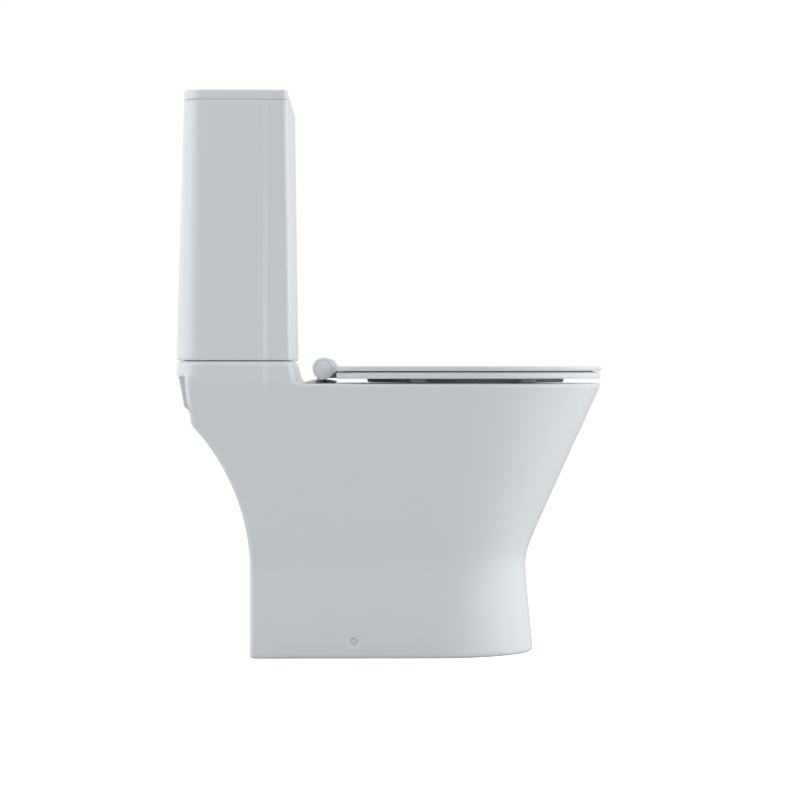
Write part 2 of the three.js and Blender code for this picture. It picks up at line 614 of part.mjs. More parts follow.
// ---------------------------------------------------------------- seat
function knuckle([inner, outer], side, radius, rounded) {
  const length = outer - inner;
  const edge = rounded ? 3 : 0.6;
  const half = [[0, 0], [radius, 0], [radius, length - edge]];
  if (rounded) {
    half.push([radius - edge * 0.29, length - edge * 0.29]);
  }
  half.push([radius - edge, length], [0, length]);
  const geometry = turned(half, 0, 0, FINE).rotateY(Math.PI / 2).translate(inner, HINGE.y, HINGE.z);
  return side > 0 ? geometry : geometry.applyMatrix4(new THREE.Matrix4().makeRotationZ(Math.PI))
    .translate(0, 2 * HINGE.y, 0);
}

function span([inner, outer], side) {
  return side > 0 ? [inner, outer] : [-outer, -inner];
}

// The bore for the hinge pin, from the inner end of the seat's knuckle out to outer.
function pinBore(side, outer) {
  const inner = KNUCKLE.seat[0] - 1;
  return bar(HINGE.pin + GAP, side * inner, side * outer, HINGE.y, HINGE.z, SMALL);
}

function seatRing() {
  const level = ([z, inset]) => ({ z, outline: seatOutline(SEAT, inset) });
  const { bottom, top } = SEAT;
  const plate = loft([
    [bottom, 1.5], [bottom + 1.5, 0], [bottom + 3.5, 0], [top - 1.8, 2.2], [top, 7],
  ].map(level));
  const ovals = (shape, levels) => loft(levels.map(([z, grow]) => ({ z, outline: oval(shape, grow) })));
  const lip = ovals(SEAT_LIP, [[SEAT_LIP.bottom, -4], [SEAT_LIP.bottom + 3, 0], [bottom + 1, 0]]);
  const hole = ovals(SEAT_HOLE, [
    [SEAT_LIP.bottom - 1, 4], [SEAT_LIP.bottom + 3, 0], [top - 4, 0], [top + 1, 8],
  ]);
  let ring = join(plate, lip).subtract(solid(hole));
  for (const side of [-1, 1]) {
    const neck = box(...span(KNUCKLE.seat, side), SEAT.rear - 12, HINGE.y - 6, bottom + 0.5, top);
    ring = ring.add(join(knuckle(KNUCKLE.seat, side, HINGE.radius - GAP, false), neck))
      .subtract(solid(pinBore(side, KNUCKLE.seat[1] + 1)));
  }
  return ring;
}

function seatLid() {
  const level = ([z, inset]) => ({ z, outline: seatOutline(SEAT_LID, inset) });
  const { bottom, top, rear } = SEAT_LID;
  let lid = solid(loft([
    [bottom, 2.2], [bottom + 2.2, 0.2], [top - 1.2, 0], [top - 0.4, 0.6], [top, 1.6],
  ].map(level)));
  const neck = [
    [rear - 19, bottom + 1], [rear - 2, bottom + 0.1], [HINGE.y - 8, HINGE.z - 12], [HINGE.y, HINGE.z],
    [HINGE.y - 12, HINGE.z + 10], [rear + 1, top + 5.2], [rear - 3, top + 2.2], [rear - 9, top + 0.6],
    [rear - 19, top - 0.1],
  ];
  for (const side of [-1, 1]) {
    const barrel = knuckle(KNUCKLE.lid, side, HINGE.radius, true);
    lid = lid.add(join(barrel, slab(neck, ...span(KNUCKLE.lid, side))))
      .subtract(solid(pinBore(side, KNUCKLE.lid[1] - 4)));
  }
  return lid;
}

function hingePillar(side) {
  const stem = post(HINGE.stem, RIM_Z + GAP, HINGE.z - 6, side * HINGE.spacing, HINGE.boltY);
  const boltHole = post(HINGE_BOLT.radius + GAP, RIM_Z - 1, HINGE_BOLT.top + GAP,
    side * HINGE.spacing, HINGE.boltY, SMALL);
  return cutAll(join(knuckle(KNUCKLE.pillar, side, HINGE.radius - 0.5, false), stem),
    [pinBore(side, KNUCKLE.pillar[1] + 1), boltHole]);
}

// ---------------------------------------------------------------- assembly
const toilet = new THREE.Group();
toilet.name = 'close_coupled_toilet';

function add(name, shape, material, parent = toilet) {
  const geometry = shape.isBufferGeometry ? shape : geometryOf(shape);
  const mesh = new THREE.Mesh(geometry, material);
  mesh.name = name;
  parent.add(mesh);
  return mesh;
}

// A ring on the flush valve's line, from z0 to z1.
function onValve(inner, outer, z0, z1, sides = ROUND) {
  return tube(inner, outer, z0, z1, 0, VALVE_Y, sides);
}

add('pan', pan(), GLAZE);
add('bowl', bowlBasin(), GLAZE);
add('flush_duct', flushDuct(), GLAZE);
add('trapway', trapway(), GLAZE);
add('cistern_pad', cisternPad(), RUBBER);
add('cistern', cistern(), GLAZE);
add('cistern_lid', cisternLid(), GLAZE);
add('seat_ring', seatRing(), SEAT_PLASTIC);
add('seat_lid', seatLid(), SEAT_PLASTIC);

const lidUnderside = CISTERN_LID.top - CISTERN_LID.skin;
add('button_housing', buttonHousing(), CHROME);
add('button_housing_nut', onValve(HOUSING.tube + GAP, HOUSING_NUT.outer, HOUSING_NUT.bottom,
  lidUnderside - GAP, FINE), WHITE_PLASTIC);
add('full_flush_button', button(-1), CHROME);
add('half_flush_button', button(1), CHROME);

const cisternFloor = CISTERN.bottom + CISTERN.floor;
const cisternUnderside = CISTERN.bottom - GAP;
const shelfUnderside = SHELF_Z - DECK_THICKNESS - GAP;
const deckUnderside = RIM_Z - DECK_THICKNESS - GAP;
add('flush_valve_body', flushValveBody(), WHITE_PLASTIC);
add('flush_valve_cap', flushValveCap(), BLUE_PLASTIC);
add('flush_valve_washer', onValve(TAIL.outer + GAP, VALVE_WASHER.outer,
  cisternFloor + GAP, cisternFloor + GAP + VALVE_WASHER.thickness), RUBBER);
add('flush_lift_tube', liftTube(), BLUE_PLASTIC);
add('flush_seal', onValve(LIFT_TUBE.outer + GAP, FLUSH_SEAL_RADIUS,
  CAGE.seatZ + GAP, LIFT_TUBE.footZ - GAP), RUBBER);
add('flush_back_nut', nut(TAIL.outer + GAP, BACK_NUT.outer, BACK_NUT.bottom,
  cisternUnderside, 0, VALVE_Y, SMALL, ROUND), WHITE_PLASTIC);
add('coupling_gasket', onValve(TAIL.outer + GAP, GASKET.outer,
  INLET_WELL.floorZ + GAP, GASKET.top), RUBBER);

add('fill_valve_body', fillValveBody(), WHITE_PLASTIC);
add('fill_valve_washer', tube(FILL.shank + GAP, FILL_WASHER.outer,
  cisternFloor + GAP, cisternFloor + GAP + FILL_WASHER.thickness, FILL.x, FILL.y), RUBBER);
add('fill_valve_nut', nut(FILL.shank + GAP, FILL_NUT.outer, FILL_NUT.bottom,
  cisternUnderside, FILL.x, FILL.y, HEX, ROUND), WHITE_PLASTIC);

const floatPivot = new THREE.Group();
floatPivot.position.set(FILL.x, FLOAT_PIVOT.y, FLOAT_PIVOT.z);
floatPivot.rotation.x = toRadians(FLOAT_DROOP);
toilet.add(floatPivot);
add('float_arm', floatArm(), WHITE_PLASTIC, floatPivot);
add('float', floatCup(), BLUE_PLASTIC, floatPivot);

function rosette(x) {
  const base = RIM_Z + GAP;
  const { radius, height } = ROSETTE;
  return turned([
    [HINGE.stem + GAP, base], [radius, base], [radius - 0.4, base + 1.3], [radius - 4, base + 3.3],
    [radius - 9, base + 4.5], [HINGE.stem + GAP, RIM_Z + height],
  ], x, HINGE.boltY, FINE);
}

function couplingBolt(x) {
  const { radius, bottom, headBottom, headTop, head } = COUPLING_BOLT;
  return turned([
    [0, bottom], [radius, bottom], [radius, headBottom], [head, headBottom], [head, headTop],
    [0, headTop],
  ], x, VALVE_Y, SMALL);
}

function wingNut(x) {
  const { radius, bottom, wingBottom, wingTop, wingLength } = WING_NUT;
  const hub = post(radius, bottom, shelfUnderside, x, VALVE_Y, SMALL);
  const wings = box(x - 2, x + 2, VALVE_Y - wingLength / 2, VALVE_Y + wingLength / 2,
    wingBottom, wingTop);
  const bore = post(COUPLING_BOLT.radius + GAP, wingBottom - 1, SHELF_Z, x, VALVE_Y, SMALL);
  return cutAll(join(hub, wings), [bore]);
}

// The bracket stands on the floor inside the foot, and both screws go into it.
const bracketOuter = FOOT_HALF_WIDTH - PAN_WALL - 2;
const floorScrewX = bracketOuter - BRACKET.screwIn;

function floorBracket(side) {
  const { halfLength, height, foot, wall, base, hole } = BRACKET;
  const { y, z } = FLOOR_FIXING;
  const upright = box(...span([bracketOuter - wall, bracketOuter], side),
    y - halfLength, y + halfLength, 0, height);
  const sole = box(...span([bracketOuter - foot, bracketOuter], side),
    y - halfLength, y + halfLength, 0, base);
  const sideHole = bar(hole, side * (bracketOuter - foot), side * (bracketOuter + 5), y, z, SMALL);
  const floorHole = post(hole, -1, base + 2, side * floorScrewX, y, SMALL);
  return cutAll(join(upright, sole), [sideHole, floorHole]);
}

function floorScrew(side) {
  const shank = BRACKET.hole - GAP;
  const head = BRACKET.base + GAP;
  return turned([
    [0, 0], [shank, 0], [shank, head], [5.5, head], [4, head + 3.2], [0, head + 3.2],
  ], side * floorScrewX, FLOOR_FIXING.y, SMALL);
}

function sideScrew(side) {
  const { y, z } = FLOOR_FIXING;
  const shank = bar(BRACKET.hole - GAP, side * 88, side * 109, y, z, SMALL);
  const head = bar(4.5, side * 108.5, side * 111.5, y, z, SMALL);
  return join(shank, head);
}

for (const [word, side] of [['left', 1], ['right', -1]]) {
  const hingeX = side * HINGE.spacing;
  const boltX = side * COUPLING_X;
  add(`hinge_pillar_${word}`, hingePillar(side), CHROME);
  add(`hinge_rosette_${word}`, rosette(hingeX), CHROME);
  add(`hinge_damper_${word}`, bar(HINGE.pin, side * (KNUCKLE.seat[0] + 2),
    side * (KNUCKLE.lid[1] - 5), HINGE.y, HINGE.z, SMALL), STEEL);
  add(`hinge_bolt_${word}`, post(HINGE_BOLT.radius, HINGE_BOLT.bottom, HINGE_BOLT.top,
    hingeX, HINGE.boltY, SMALL), BRASS);
  add(`hinge_washer_${word}`, tube(HINGE_BOLT.radius + GAP, HINGE_WASHER.outer,
    HINGE_WASHER.bottom, deckUnderside, hingeX, HINGE.boltY), CLEAR_RUBBER);
  add(`hinge_nut_${word}`, nut(HINGE_BOLT.radius + GAP, HINGE_NUT.outer, HINGE_NUT.bottom,
    HINGE_WASHER.bottom - GAP, hingeX, HINGE.boltY, HEX, SMALL), WHITE_PLASTIC);

  add(`coupling_bolt_${word}`, couplingBolt(boltX), STEEL);
  add(`coupling_washer_${word}`, tube(COUPLING_BOLT.radius + GAP, COUPLING_BOLT.washer,
    cisternFloor + GAP, COUPLING_BOLT.headBottom - GAP, boltX, VALVE_Y), RUBBER);
  add(`wing_nut_${word}`, wingNut(boltX), BRASS);

  add(`floor_bracket_${word}`, floorBracket(side), WHITE_PLASTIC);
  add(`floor_screw_${word}`, floorScrew(side), STEEL);
  add(`side_screw_${word}`, sideScrew(side), STEEL);
  add(`side_cap_${word}`, bar(FLOOR_FIXING.hole - GAP, side * 112, side * 115,
    FLOOR_FIXING.y, FLOOR_FIXING.z), WHITE_PLASTIC);

  for (const [place, x, y] of SEAT_PADS) {
    add(`seat_buffer_${place}_${word}`, box(side * x - 5, side * x + 5, y - 12, y + 12,
      RIM_Z + GAP, SEAT.bottom - GAP), CLEAR_RUBBER);
  }
  for (const [place, x, y] of LID_PADS) {
    add(`lid_buffer_${place}_${word}`, post(6, SEAT.top + GAP, SEAT_LID.bottom - GAP,
      side * x, y, SMALL), CLEAR_RUBBER);
  }
}

export default toilet;
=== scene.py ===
"""Looks of the close coupled toilet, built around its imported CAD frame.

Shapes are drawn in millimetres in the frame's own axes (+Z up, -Y towards the front of the bowl)
and turned into metres when a mesh is made.
"""

import json
import math

import bpy
import numpy as np
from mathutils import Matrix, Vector


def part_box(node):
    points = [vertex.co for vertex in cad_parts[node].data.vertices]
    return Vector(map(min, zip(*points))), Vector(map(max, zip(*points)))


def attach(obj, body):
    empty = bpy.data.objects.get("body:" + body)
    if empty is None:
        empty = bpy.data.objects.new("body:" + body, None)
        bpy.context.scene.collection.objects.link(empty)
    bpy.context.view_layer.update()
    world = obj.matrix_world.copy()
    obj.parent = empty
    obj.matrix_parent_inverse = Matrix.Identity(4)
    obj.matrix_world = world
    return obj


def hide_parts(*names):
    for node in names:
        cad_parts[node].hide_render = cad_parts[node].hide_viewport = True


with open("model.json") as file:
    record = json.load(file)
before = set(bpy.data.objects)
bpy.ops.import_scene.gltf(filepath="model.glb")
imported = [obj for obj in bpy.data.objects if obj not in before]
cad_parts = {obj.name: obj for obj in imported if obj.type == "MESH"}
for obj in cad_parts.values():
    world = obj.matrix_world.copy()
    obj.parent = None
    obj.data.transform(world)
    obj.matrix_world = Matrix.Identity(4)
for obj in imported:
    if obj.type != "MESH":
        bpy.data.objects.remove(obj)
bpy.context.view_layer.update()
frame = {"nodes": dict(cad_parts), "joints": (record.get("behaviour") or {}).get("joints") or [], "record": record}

MM = 0.001
GAP = 0.3


def box_mm(node):
    """Lowest and highest corner of a CAD node, in millimetres."""
    low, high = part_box(node)
    return np.array(low) / MM, np.array(high) / MM


# ---------------------------------------------------------------- sizes read from the frame
PAN_HIGH = box_mm("pan")[1]
TANK_LOW, TANK_HIGH = box_mm("cistern")
COVER_LOW, COVER_HIGH = box_mm("cistern_lid")
ROSETTE_LOW = box_mm("hinge_rosette_left")[0]
RING_LOW, RING_HIGH = box_mm("seat_ring")
LID_LOW, LID_HIGH = box_mm("seat_lid")
HALF_WIDTH = PAN_HIGH[0]
HALF_LENGTH = PAN_HIGH[1]
SHELF_Z = PAN_HIGH[2]
RIM_Z = ROSETTE_LOW[2] - GAP
JOINTS = {joint["name"]: joint for joint in frame["joints"]}
HINGE_Y, HINGE_Z = (JOINTS["seat_hinge"]["pos_m"][axis] / MM for axis in (1, 2))
VALVE_Y = float(np.mean([box_mm("button_housing")[0][1], box_mm("button_housing")[1][1]]))

# ---------------------------------------------------------------- shape of the pan
NOSE_HALF_WIDTH = HALF_WIDTH - 5
FOOT_HALF_WIDTH = 118
FOOT_FRONT = 210
FRONT_SLOPE = 0.454
SIDE_SLOPE = 0.252
FOOT_FRONT_SLOPE = 0.1
FOOT_SIDE_SLOPE = 0.04
WAIST_SOFTNESS = 4.5
NOSE_START_FOOT = -61
NOSE_START_RIM = -101
FOOT_REAR = 210
REAR_ARC_BOTTOM, REAR_ARC_TOP, REAR_ARC_RADIUS = 130, 342, 316
SIDE_REAR = 297.5
SHELF_EDGE_Z = 412
SHELF_FRONT_LOW, SHELF_FRONT_HIGH, SHELF_FILLET = 140, 147.5, 6.5
SHELF_RISE = 0.8
PAN_WALL, DECK = 11, 12
APRON_HALF_WIDTH, APRON_BOTTOM, APRON_WALL = 172, 362, 13
APRON_REAR_TOP, APRON_REAR_BOTTOM = 308.7, 298
RIM_ROUND = 4
WALL_ROUND = 6
CREASE_REAR, CREASE_FRONT, CREASE_DEPTH, CREASE_FADE_Z = 188.4, 178.4, 2.8, 320
BOWL_REAR, BOWL_FRONT, BOWL_HALF_WIDTH = 49, -266, 137
SUMP_Z, SUMP_HALF, SUMP_Y, BOWL_WALL = 80, 42, 8, 9
TRAP_ROUTE = [
    (-10, 112), (30, 104), (70, 128), (98, 175), (124, 208), (150, 205), (176, 182), (202, 180),
]
TRAP_BORE, TRAP_OUTER = 33, 42
OUTLET_BORE, OUTLET_OUTER, OUTLET_START, OUTLET_END = 42, 51, 158, 204
INLET_ROUTE = [(230, 402), (226, 378), (200, 356), (150, 350), (90, 352), (38, 356)]
INLET_BORE, INLET_OUTER = 24, 32
WELL_BORE, WELL_OUTER, WELL_FLOOR_Z, WELL_UNDERSIDE_Z = 52, 61, 396.5, 384.5
SHANK_POCKET, FASTENER_HOLE, SIDE_HOLE = 22, 6, 5.7
CHINA_VOXEL, CHINA_SMOOTHING = 2.4, 6
TANK_WALL = 9
TANK_FRONT_CORNER = 7
TANK_REAR_CORNER = (33, 26)
TANK_DROP = 0.6

# ---------------------------------------------------------------- shape of the seat and hinge
SEAT_BOTTOM = RIM_Z + 7
SEAT_TOP = RIM_Z + 16
LID_BOTTOM = RIM_Z + 18
LID_TOP = RIM_Z + 24.8
SEAT_REAR, LID_REAR = 83, 84
SEAT_CORNER, LID_CORNER = 34, 25
SEAT_MIDDLE = np.array([0.0, -109.0])
SEAT_HOLE = dict(rear=10, front=-228, half_width=100)
SEAT_LIP = dict(rear=39, front=-256, half_width=127)
SEAT_KNUCKLE, PILLAR_KNUCKLE, LID_KNUCKLE = (45, 68), (69, 86), (87, 110)
LID_NECK_END = 108.4
STEM_RADIUS, STEM_FORWARD = 5.8, 1.5
ROSETTE_RADIUS, ROSETTE_BORE = 23, 7.6
BUTTON_RADIUS, BUTTON_UNDERSIDE_Z = 20.6, 800


# ---------------------------------------------------------------- numbers and outlines
def smoothstep(value, start, end):
    t = np.clip((value - start) / (end - start), 0, 1)
    return t * t * (3 - 2 * t)


def lerp(a, b, t):
    return a + (b - a) * t


def soft_max(a, b):
    return (a + b) / 2 + np.hypot((a - b) / 2, WAIST_SOFTNESS)


def arc(x, y, radius_x, radius_y, start, end, steps):
    angles = np.radians(np.linspace(start, end, steps + 1))
    return np.column_stack([x + radius_x * np.cos(angles), y + radius_y * np.sin(angles)])


def mirrored(left):
    """The mirror image of the left half of an outline, from front to back."""
    right = left[::-1].copy()
    right[:, 0] *= -1
    return right


def crease_points():
    return np.linspace(CREASE_REAR, CREASE_FRONT, 9)


def crease_at(y):
    """Share of the crease's depth: 0 behind it, 1 in front of it."""
    return smoothstep(-y, -CREASE_REAR, -CREASE_FRONT)


def pan_rear(z):
    rise = np.clip(z - REAR_ARC_BOTTOM, 0, REAR_ARC_TOP - REAR_ARC_BOTTOM)
    rear = FOOT_REAR + REAR_ARC_RADIUS - math.sqrt(REAR_ARC_RADIUS**2 - rise**2)
    if z <= REAR_ARC_TOP:
        return rear
    return lerp(rear, SIDE_REAR, (z - REAR_ARC_TOP) / (SHELF_EDGE_Z - REAR_ARC_TOP))


def pan_measures(z):
    """Reach of the nose, half width where the nose starts, and where it starts, at height z."""
    front = soft_max(FOOT_FRONT - FOOT_FRONT_SLOPE * z, HALF_LENGTH - FRONT_SLOPE * (RIM_Z - z))
    side = soft_max(FOOT_HALF_WIDTH - FOOT_SIDE_SLOPE * z, NOSE_HALF_WIDTH - SIDE_SLOPE * (RIM_Z - z))
    return front, side, lerp(NOSE_START_FOOT, NOSE_START_RIM, z / RIM_Z)


def pan_outline(z, rim_inset=0.0, inset=0.0, rear=None, corner=WALL_ROUND):
    """Outline of the pan at height z. rim_inset draws in only what lies in front of the shelf."""
    front, side, nose = pan_measures(z)
    deck_front = SHELF_FRONT_LOW - SHELF_FILLET
    widening = (HALF_WIDTH - GAP - NOSE_HALF_WIDTH) * (z / RIM_Z)
    crease = CREASE_DEPTH * smoothstep(z, CREASE_FADE_Z, RIM_Z)
    rear = pan_rear(z) - inset if rear is None else rear

    def half(y):
        widened = side + widening * np.minimum((y - nose) / (deck_front - nose), 1)
        drawn_in = rim_inset * smoothstep(-y, -deck_front, -deck_front + 10)
        return widened - crease * crease_at(y) - inset - drawn_in

    start = CREASE_REAR + 1
    side_y = np.concatenate([
        np.linspace(rear - corner, start, 6)[1:], crease_points(),
        np.linspace(CREASE_FRONT - 2, deck_front, 5), np.linspace(deck_front - 1.5, deck_front - 10, 5),
        np.linspace(deck_front - 20, nose, 14)[:-1],
    ])
    rear_half = float(half(np.array(rear - corner)))
    left = np.vstack([
        arc(-rear_half + corner, rear - corner, corner, corner, 90, 180, 8),
        np.column_stack([-half(side_y), side_y]),
    ])
    tip = arc(0, nose, float(half(np.array(nose))), front + nose - inset - rim_inset, 180, 360, 96)
    return np.vstack([left, tip, mirrored(left)])


def box_outline(front, rear, front_corner, rear_corner, crease, inset, steps=12):
    """Outline of the cistern, its lid and the shelf, with the soft crease down each side."""
    rear_half = HALF_WIDTH - inset
    front_half = HALF_WIDTH - crease - inset
    small = max(front_corner - inset, 0.5)
    big = max(rear_corner - inset, 0.5)
    y = crease_points()
    left = np.vstack([
        arc(-rear_half + big, rear - inset - big, big, big, 90, 180, steps),
        np.column_stack([-(rear_half - crease * crease_at(y)), y]),
        arc(-front_half + small, front + inset + small, small, small, 180, 270, steps // 2),
    ])
    return np.vstack([left, mirrored(left)])


def tank_outline(z, inset):
    t = (z - TANK_LOW[2]) / (TANK_HIGH[2] - TANK_LOW[2])
    return box_outline(
        front=lerp(TANK_LOW[1], COVER_LOW[1], t), rear=lerp(TANK_HIGH[1], COVER_HIGH[1], t),
        front_corner=TANK_FRONT_CORNER, rear_corner=lerp(*TANK_REAR_CORNER, t),
        crease=CREASE_DEPTH * (1 - t / 2), inset=inset,
    )


def oval(rear, front, half_width, grow=0.0, steps=120):
    return arc(0, (rear + front) / 2, half_width + grow, (rear - front) / 2 + grow, 0, 360, steps)[:-1]


def rounded(radius, steps=6):
    """Pairs (inset, drop) around a rounded edge, from the side to the top."""
    angles = np.radians(np.linspace(0, 90, steps + 1))
    return [(radius * (1 - math.cos(a)), radius * (1 - math.sin(a))) for a in angles]


# ---------------------------------------------------------------- meshes
def mesh_object(name, points, faces):
    """An object from points in millimetres."""
    mesh = bpy.data.meshes.new(name)
    mesh.from_pydata([tuple(p) for p in np.asarray(points) * MM], [], faces)
    mesh.validate()
    obj = bpy.data.objects.new(name, mesh)
    bpy.context.scene.collection.objects.link(obj)
    return obj


def loft(name, levels, closed=False):
    """A skin through level outlines given as (outline, z). closed joins the last level to the first;
    otherwise both ends are capped."""
    count = len(levels[0][0])
    points = np.vstack([np.column_stack([outline, np.full(count, z)]) for outline, z in levels])
    faces = []
    pairs = len(levels) if closed else len(levels) - 1
    for level in range(pairs):
        low, high = level * count, ((level + 1) % len(levels)) * count
        for i in range(count):
            j = (i + 1) % count
            faces.append((low + i, low + j, high + j, high + i))
    if not closed:
        faces.append(tuple(range(count))[::-1])
        faces.append(tuple(range((len(levels) - 1) * count, len(levels) * count)))
    return mesh_object(name, points, faces)


def lathe(name, section, centre=(0, 0, 0), axis="Z", steps=64):
    """A turned solid. section is a list of (radius, height) from axis to axis, or a closed ring of
    points off the axis, anticlockwise with the radius to the right."""
    closed = section[0][0] > 0
    angles = np.linspace(0, 2 * math.pi, steps, endpoint=False)
    points, index = [], []
    for radius, height in section:
        if radius <= 0:
            index.append([len(points)] * steps)
            points.append((0, 0, height))
        else:
            index.append(list(range(len(points), len(points) + steps)))
            points.extend((radius * math.cos(a), radius * math.sin(a), height) for a in angles)
    faces = []
    spans = len(section) if closed else len(section) - 1
    for k in range(spans):
        low, high = index[k], index[(k + 1) % len(section)]
        for i in range(steps):
            j = (i + 1) % steps
            corners = [low[i], low[j], high[j], high[i]]
            face = tuple(dict.fromkeys(corners))
            if len(face) > 2:
                faces.append(face)
    points = np.array(points, float)
    if axis == "X":
        points = points[:, [2, 0, 1]]
    elif axis == "-X":
        points = points[:, [2, 1, 0]] * np.array([-1, 1, 1])
    return mesh_object(name, points + np.array(centre, float), faces)


def prism(name, profile, x0, x1, edge=0.0):
    """A shape drawn in Y and Z and pushed out along X, with both ends rounded by edge."""
    profile = np.asarray(profile, float)
    centre = profile.mean(axis=0)
    ends = [(x0 + drop, inset) for inset, drop in rounded(edge, 4)[::-1]] if edge else [(x0, 0)]
    ends += [(x1 - drop, inset) for inset, drop in rounded(edge, 4)] if edge else [(x1, 0)]
    count = len(profile)
    points = []
    for x, inset in ends:
        reach = np.linalg.norm(profile - centre, axis=1, keepdims=True)
        drawn = profile - (profile - centre) / reach * inset
        points.append(np.column_stack([np.full(count, x), drawn]))
    faces = []
    for level in range(len(ends) - 1):
        for i in range(count):
            j = (i + 1) % count
            low, high = level * count, (level + 1) * count
            faces.append((low + i, low + j, high + j, high + i))
    faces.append(tuple(range(count))[::-1])
    faces.append(tuple(range((len(ends) - 1) * count, len(ends) * count)))
    return mesh_object(name, np.vstack(points), faces)


def block(name, low, high):
    round_the_base = [(low[0], low[1]), (high[0], low[1]), (high[0], high[1]), (low[0], high[1])]
    corners = [(x, y, z) for z in (low[2], high[2]) for x, y in round_the_base]
    faces = [(3, 2, 1, 0), (4, 5, 6, 7), (0, 1, 5, 4), (1, 2, 6, 5), (2, 3, 7, 6), (3, 0, 4, 7)]
    return mesh_object(name, corners, faces)


def pipe(name, route, radius, steps=60, sides=40):
    """A round pipe in the middle plane along a smooth curve through route, given as (y, z)."""
    route = np.array(route, float)
    padded = np.vstack([2 * route[0] - route[1], route, 2 * route[-1] - route[-2]])
    line = []
    for i in range(1, len(padded) - 2):
        p0, p1, p2, p3 = padded[i - 1:i + 3]
        for t in np.linspace(0, 1, max(steps // (len(route) - 1), 3), endpoint=False):
            line.append(0.5 * (2 * p1 + (p2 - p0) * t + (2 * p0 - 5 * p1 + 4 * p2 - p3) * t**2
                               + (3 * p1 - p0 - 3 * p2 + p3) * t**3))
    line = np.array(line + [route[-1]])
    along = np.gradient(line, axis=0)
    along /= np.linalg.norm(along, axis=1, keepdims=True)
    across = np.column_stack([-along[:, 1], along[:, 0]])
    angles = np.linspace(0, 2 * math.pi, sides, endpoint=False)
    points = []
    for centre, normal in zip(line, across):
        for a in angles:
            y, z = centre + normal * radius * math.sin(a)
            points.append((radius * math.cos(a), y, z))
    faces = []
    for k in range(len(line) - 1):
        for i in range(sides):
            j = (i + 1) % sides
            faces.append((k * sides + i, k * sides + j, (k + 1) * sides + j, (k + 1) * sides + i))
    faces.append(tuple(range(sides))[::-1])
    faces.append(tuple(range((len(line) - 1) * sides, len(line) * sides)))
    return mesh_object(name, points, faces)


def bake(obj):
    """Applies an object's modifiers to its mesh."""
    graph = bpy.context.evaluated_depsgraph_get()
    mesh = bpy.data.meshes.new_from_object(obj.evaluated_get(graph))
    obj.modifiers.clear()
    old, obj.data = obj.data, mesh
    bpy.data.meshes.remove(old)
    mesh.name = obj.name
    return obj


def face_outward(obj):
    """Turns the faces of a closed mesh so that they point out."""
    mesh = obj.data
    mesh.calc_loop_triangles()
    co = np.array([v.co for v in mesh.vertices])
    tri = np.array([t.vertices for t in mesh.loop_triangles])
    volume = np.einsum("ij,ij->", co[tri[:, 0]], np.cross(co[tri[:, 1]], co[tri[:, 2]]))
    if volume < 0:
        mesh.flip_normals()
    return obj


def combine(obj, others, operation):
    """Joins ("UNION") or cuts ("DIFFERENCE") obj with closed meshes, which are used up."""
    face_outward(obj)
    for other in others:
        face_outward(other)
        modifier = obj.modifiers.new(operation, "BOOLEAN")
        modifier.operation = operation
        modifier.solver = "MANIFOLD"
        modifier.object = other
    bake(obj)
    for other in others:
        bpy.data.meshes.remove(other.data)
    return obj


def soften(obj, voxel, rounds):
    """Rebuilds a mesh at one even size and rounds its edges, as glaze does."""
    remesh = obj.modifiers.new("even", "REMESH")
    remesh.mode = "VOXEL"
    remesh.voxel_size = voxel * MM
    smooth = obj.modifiers.new("round", "SMOOTH")
    smooth.factor = 0.5
    smooth.iterations = rounds
    return bake(obj)


def shade(obj, angle=35):
    obj.data.shade_smooth()
    obj.data.set_sharp_from_angle(angle=math.radians(angle))
    return obj


# ---------------------------------------------------------------- materials
def principled(name, color, roughness, metallic=0.0, **sockets):
    material = bpy.data.materials.new(name)
    material.use_nodes = True
    shader = material.node_tree.nodes["Principled BSDF"]
    shader.inputs["Base Color"].default_value = (*color, 1)
    shader.inputs["Roughness"].default_value = roughness
    shader.inputs["Metallic"].default_value = metallic
    for socket, value in sockets.items():
        shader.inputs[socket.replace("_", " ")].default_value = value
    return material


def noise(material, scale, detail=4.0, stretch=(1, 1, 1)):
    """A noise texture in the object's own space, in metres."""
    nodes, links = material.node_tree.nodes, material.node_tree.links
    coordinates = nodes.new("ShaderNodeTexCoord")
    mapping = nodes.new("ShaderNodeMapping")
    mapping.inputs["Scale"].default_value = stretch
    texture = nodes.new("ShaderNodeTexNoise")
    texture.inputs["Scale"].default_value = scale
    texture.inputs["Detail"].default_value = detail
    links.new(coordinates.outputs["Object"], mapping.inputs["Vector"])
    links.new(mapping.outputs["Vector"], texture.inputs["Vector"])
    return texture.outputs["Fac"]


def vary_color(material, low, high, scale, stretch=(1, 1, 1)):
    nodes, links = material.node_tree.nodes, material.node_tree.links
    mix = nodes.new("ShaderNodeMix")
    mix.data_type = "RGBA"
    mix.inputs["A"].default_value = (*low, 1)
    mix.inputs["B"].default_value = (*high, 1)
    links.new(noise(material, scale, stretch=stretch), mix.inputs["Factor"])
    links.new(mix.outputs["Result"], nodes["Principled BSDF"].inputs["Base Color"])


def vary_roughness(material, low, high, scale, stretch=(1, 1, 1)):
    nodes, links = material.node_tree.nodes, material.node_tree.links
    span = nodes.new("ShaderNodeMapRange")
    span.inputs["From Min"].default_value = 0.3
    span.inputs["From Max"].default_value = 0.7
    span.inputs["To Min"].default_value = low
    span.inputs["To Max"].default_value = high
    links.new(noise(material, scale, stretch=stretch), span.inputs["Value"])
    links.new(span.outputs["Result"], nodes["Principled BSDF"].inputs["Roughness"])


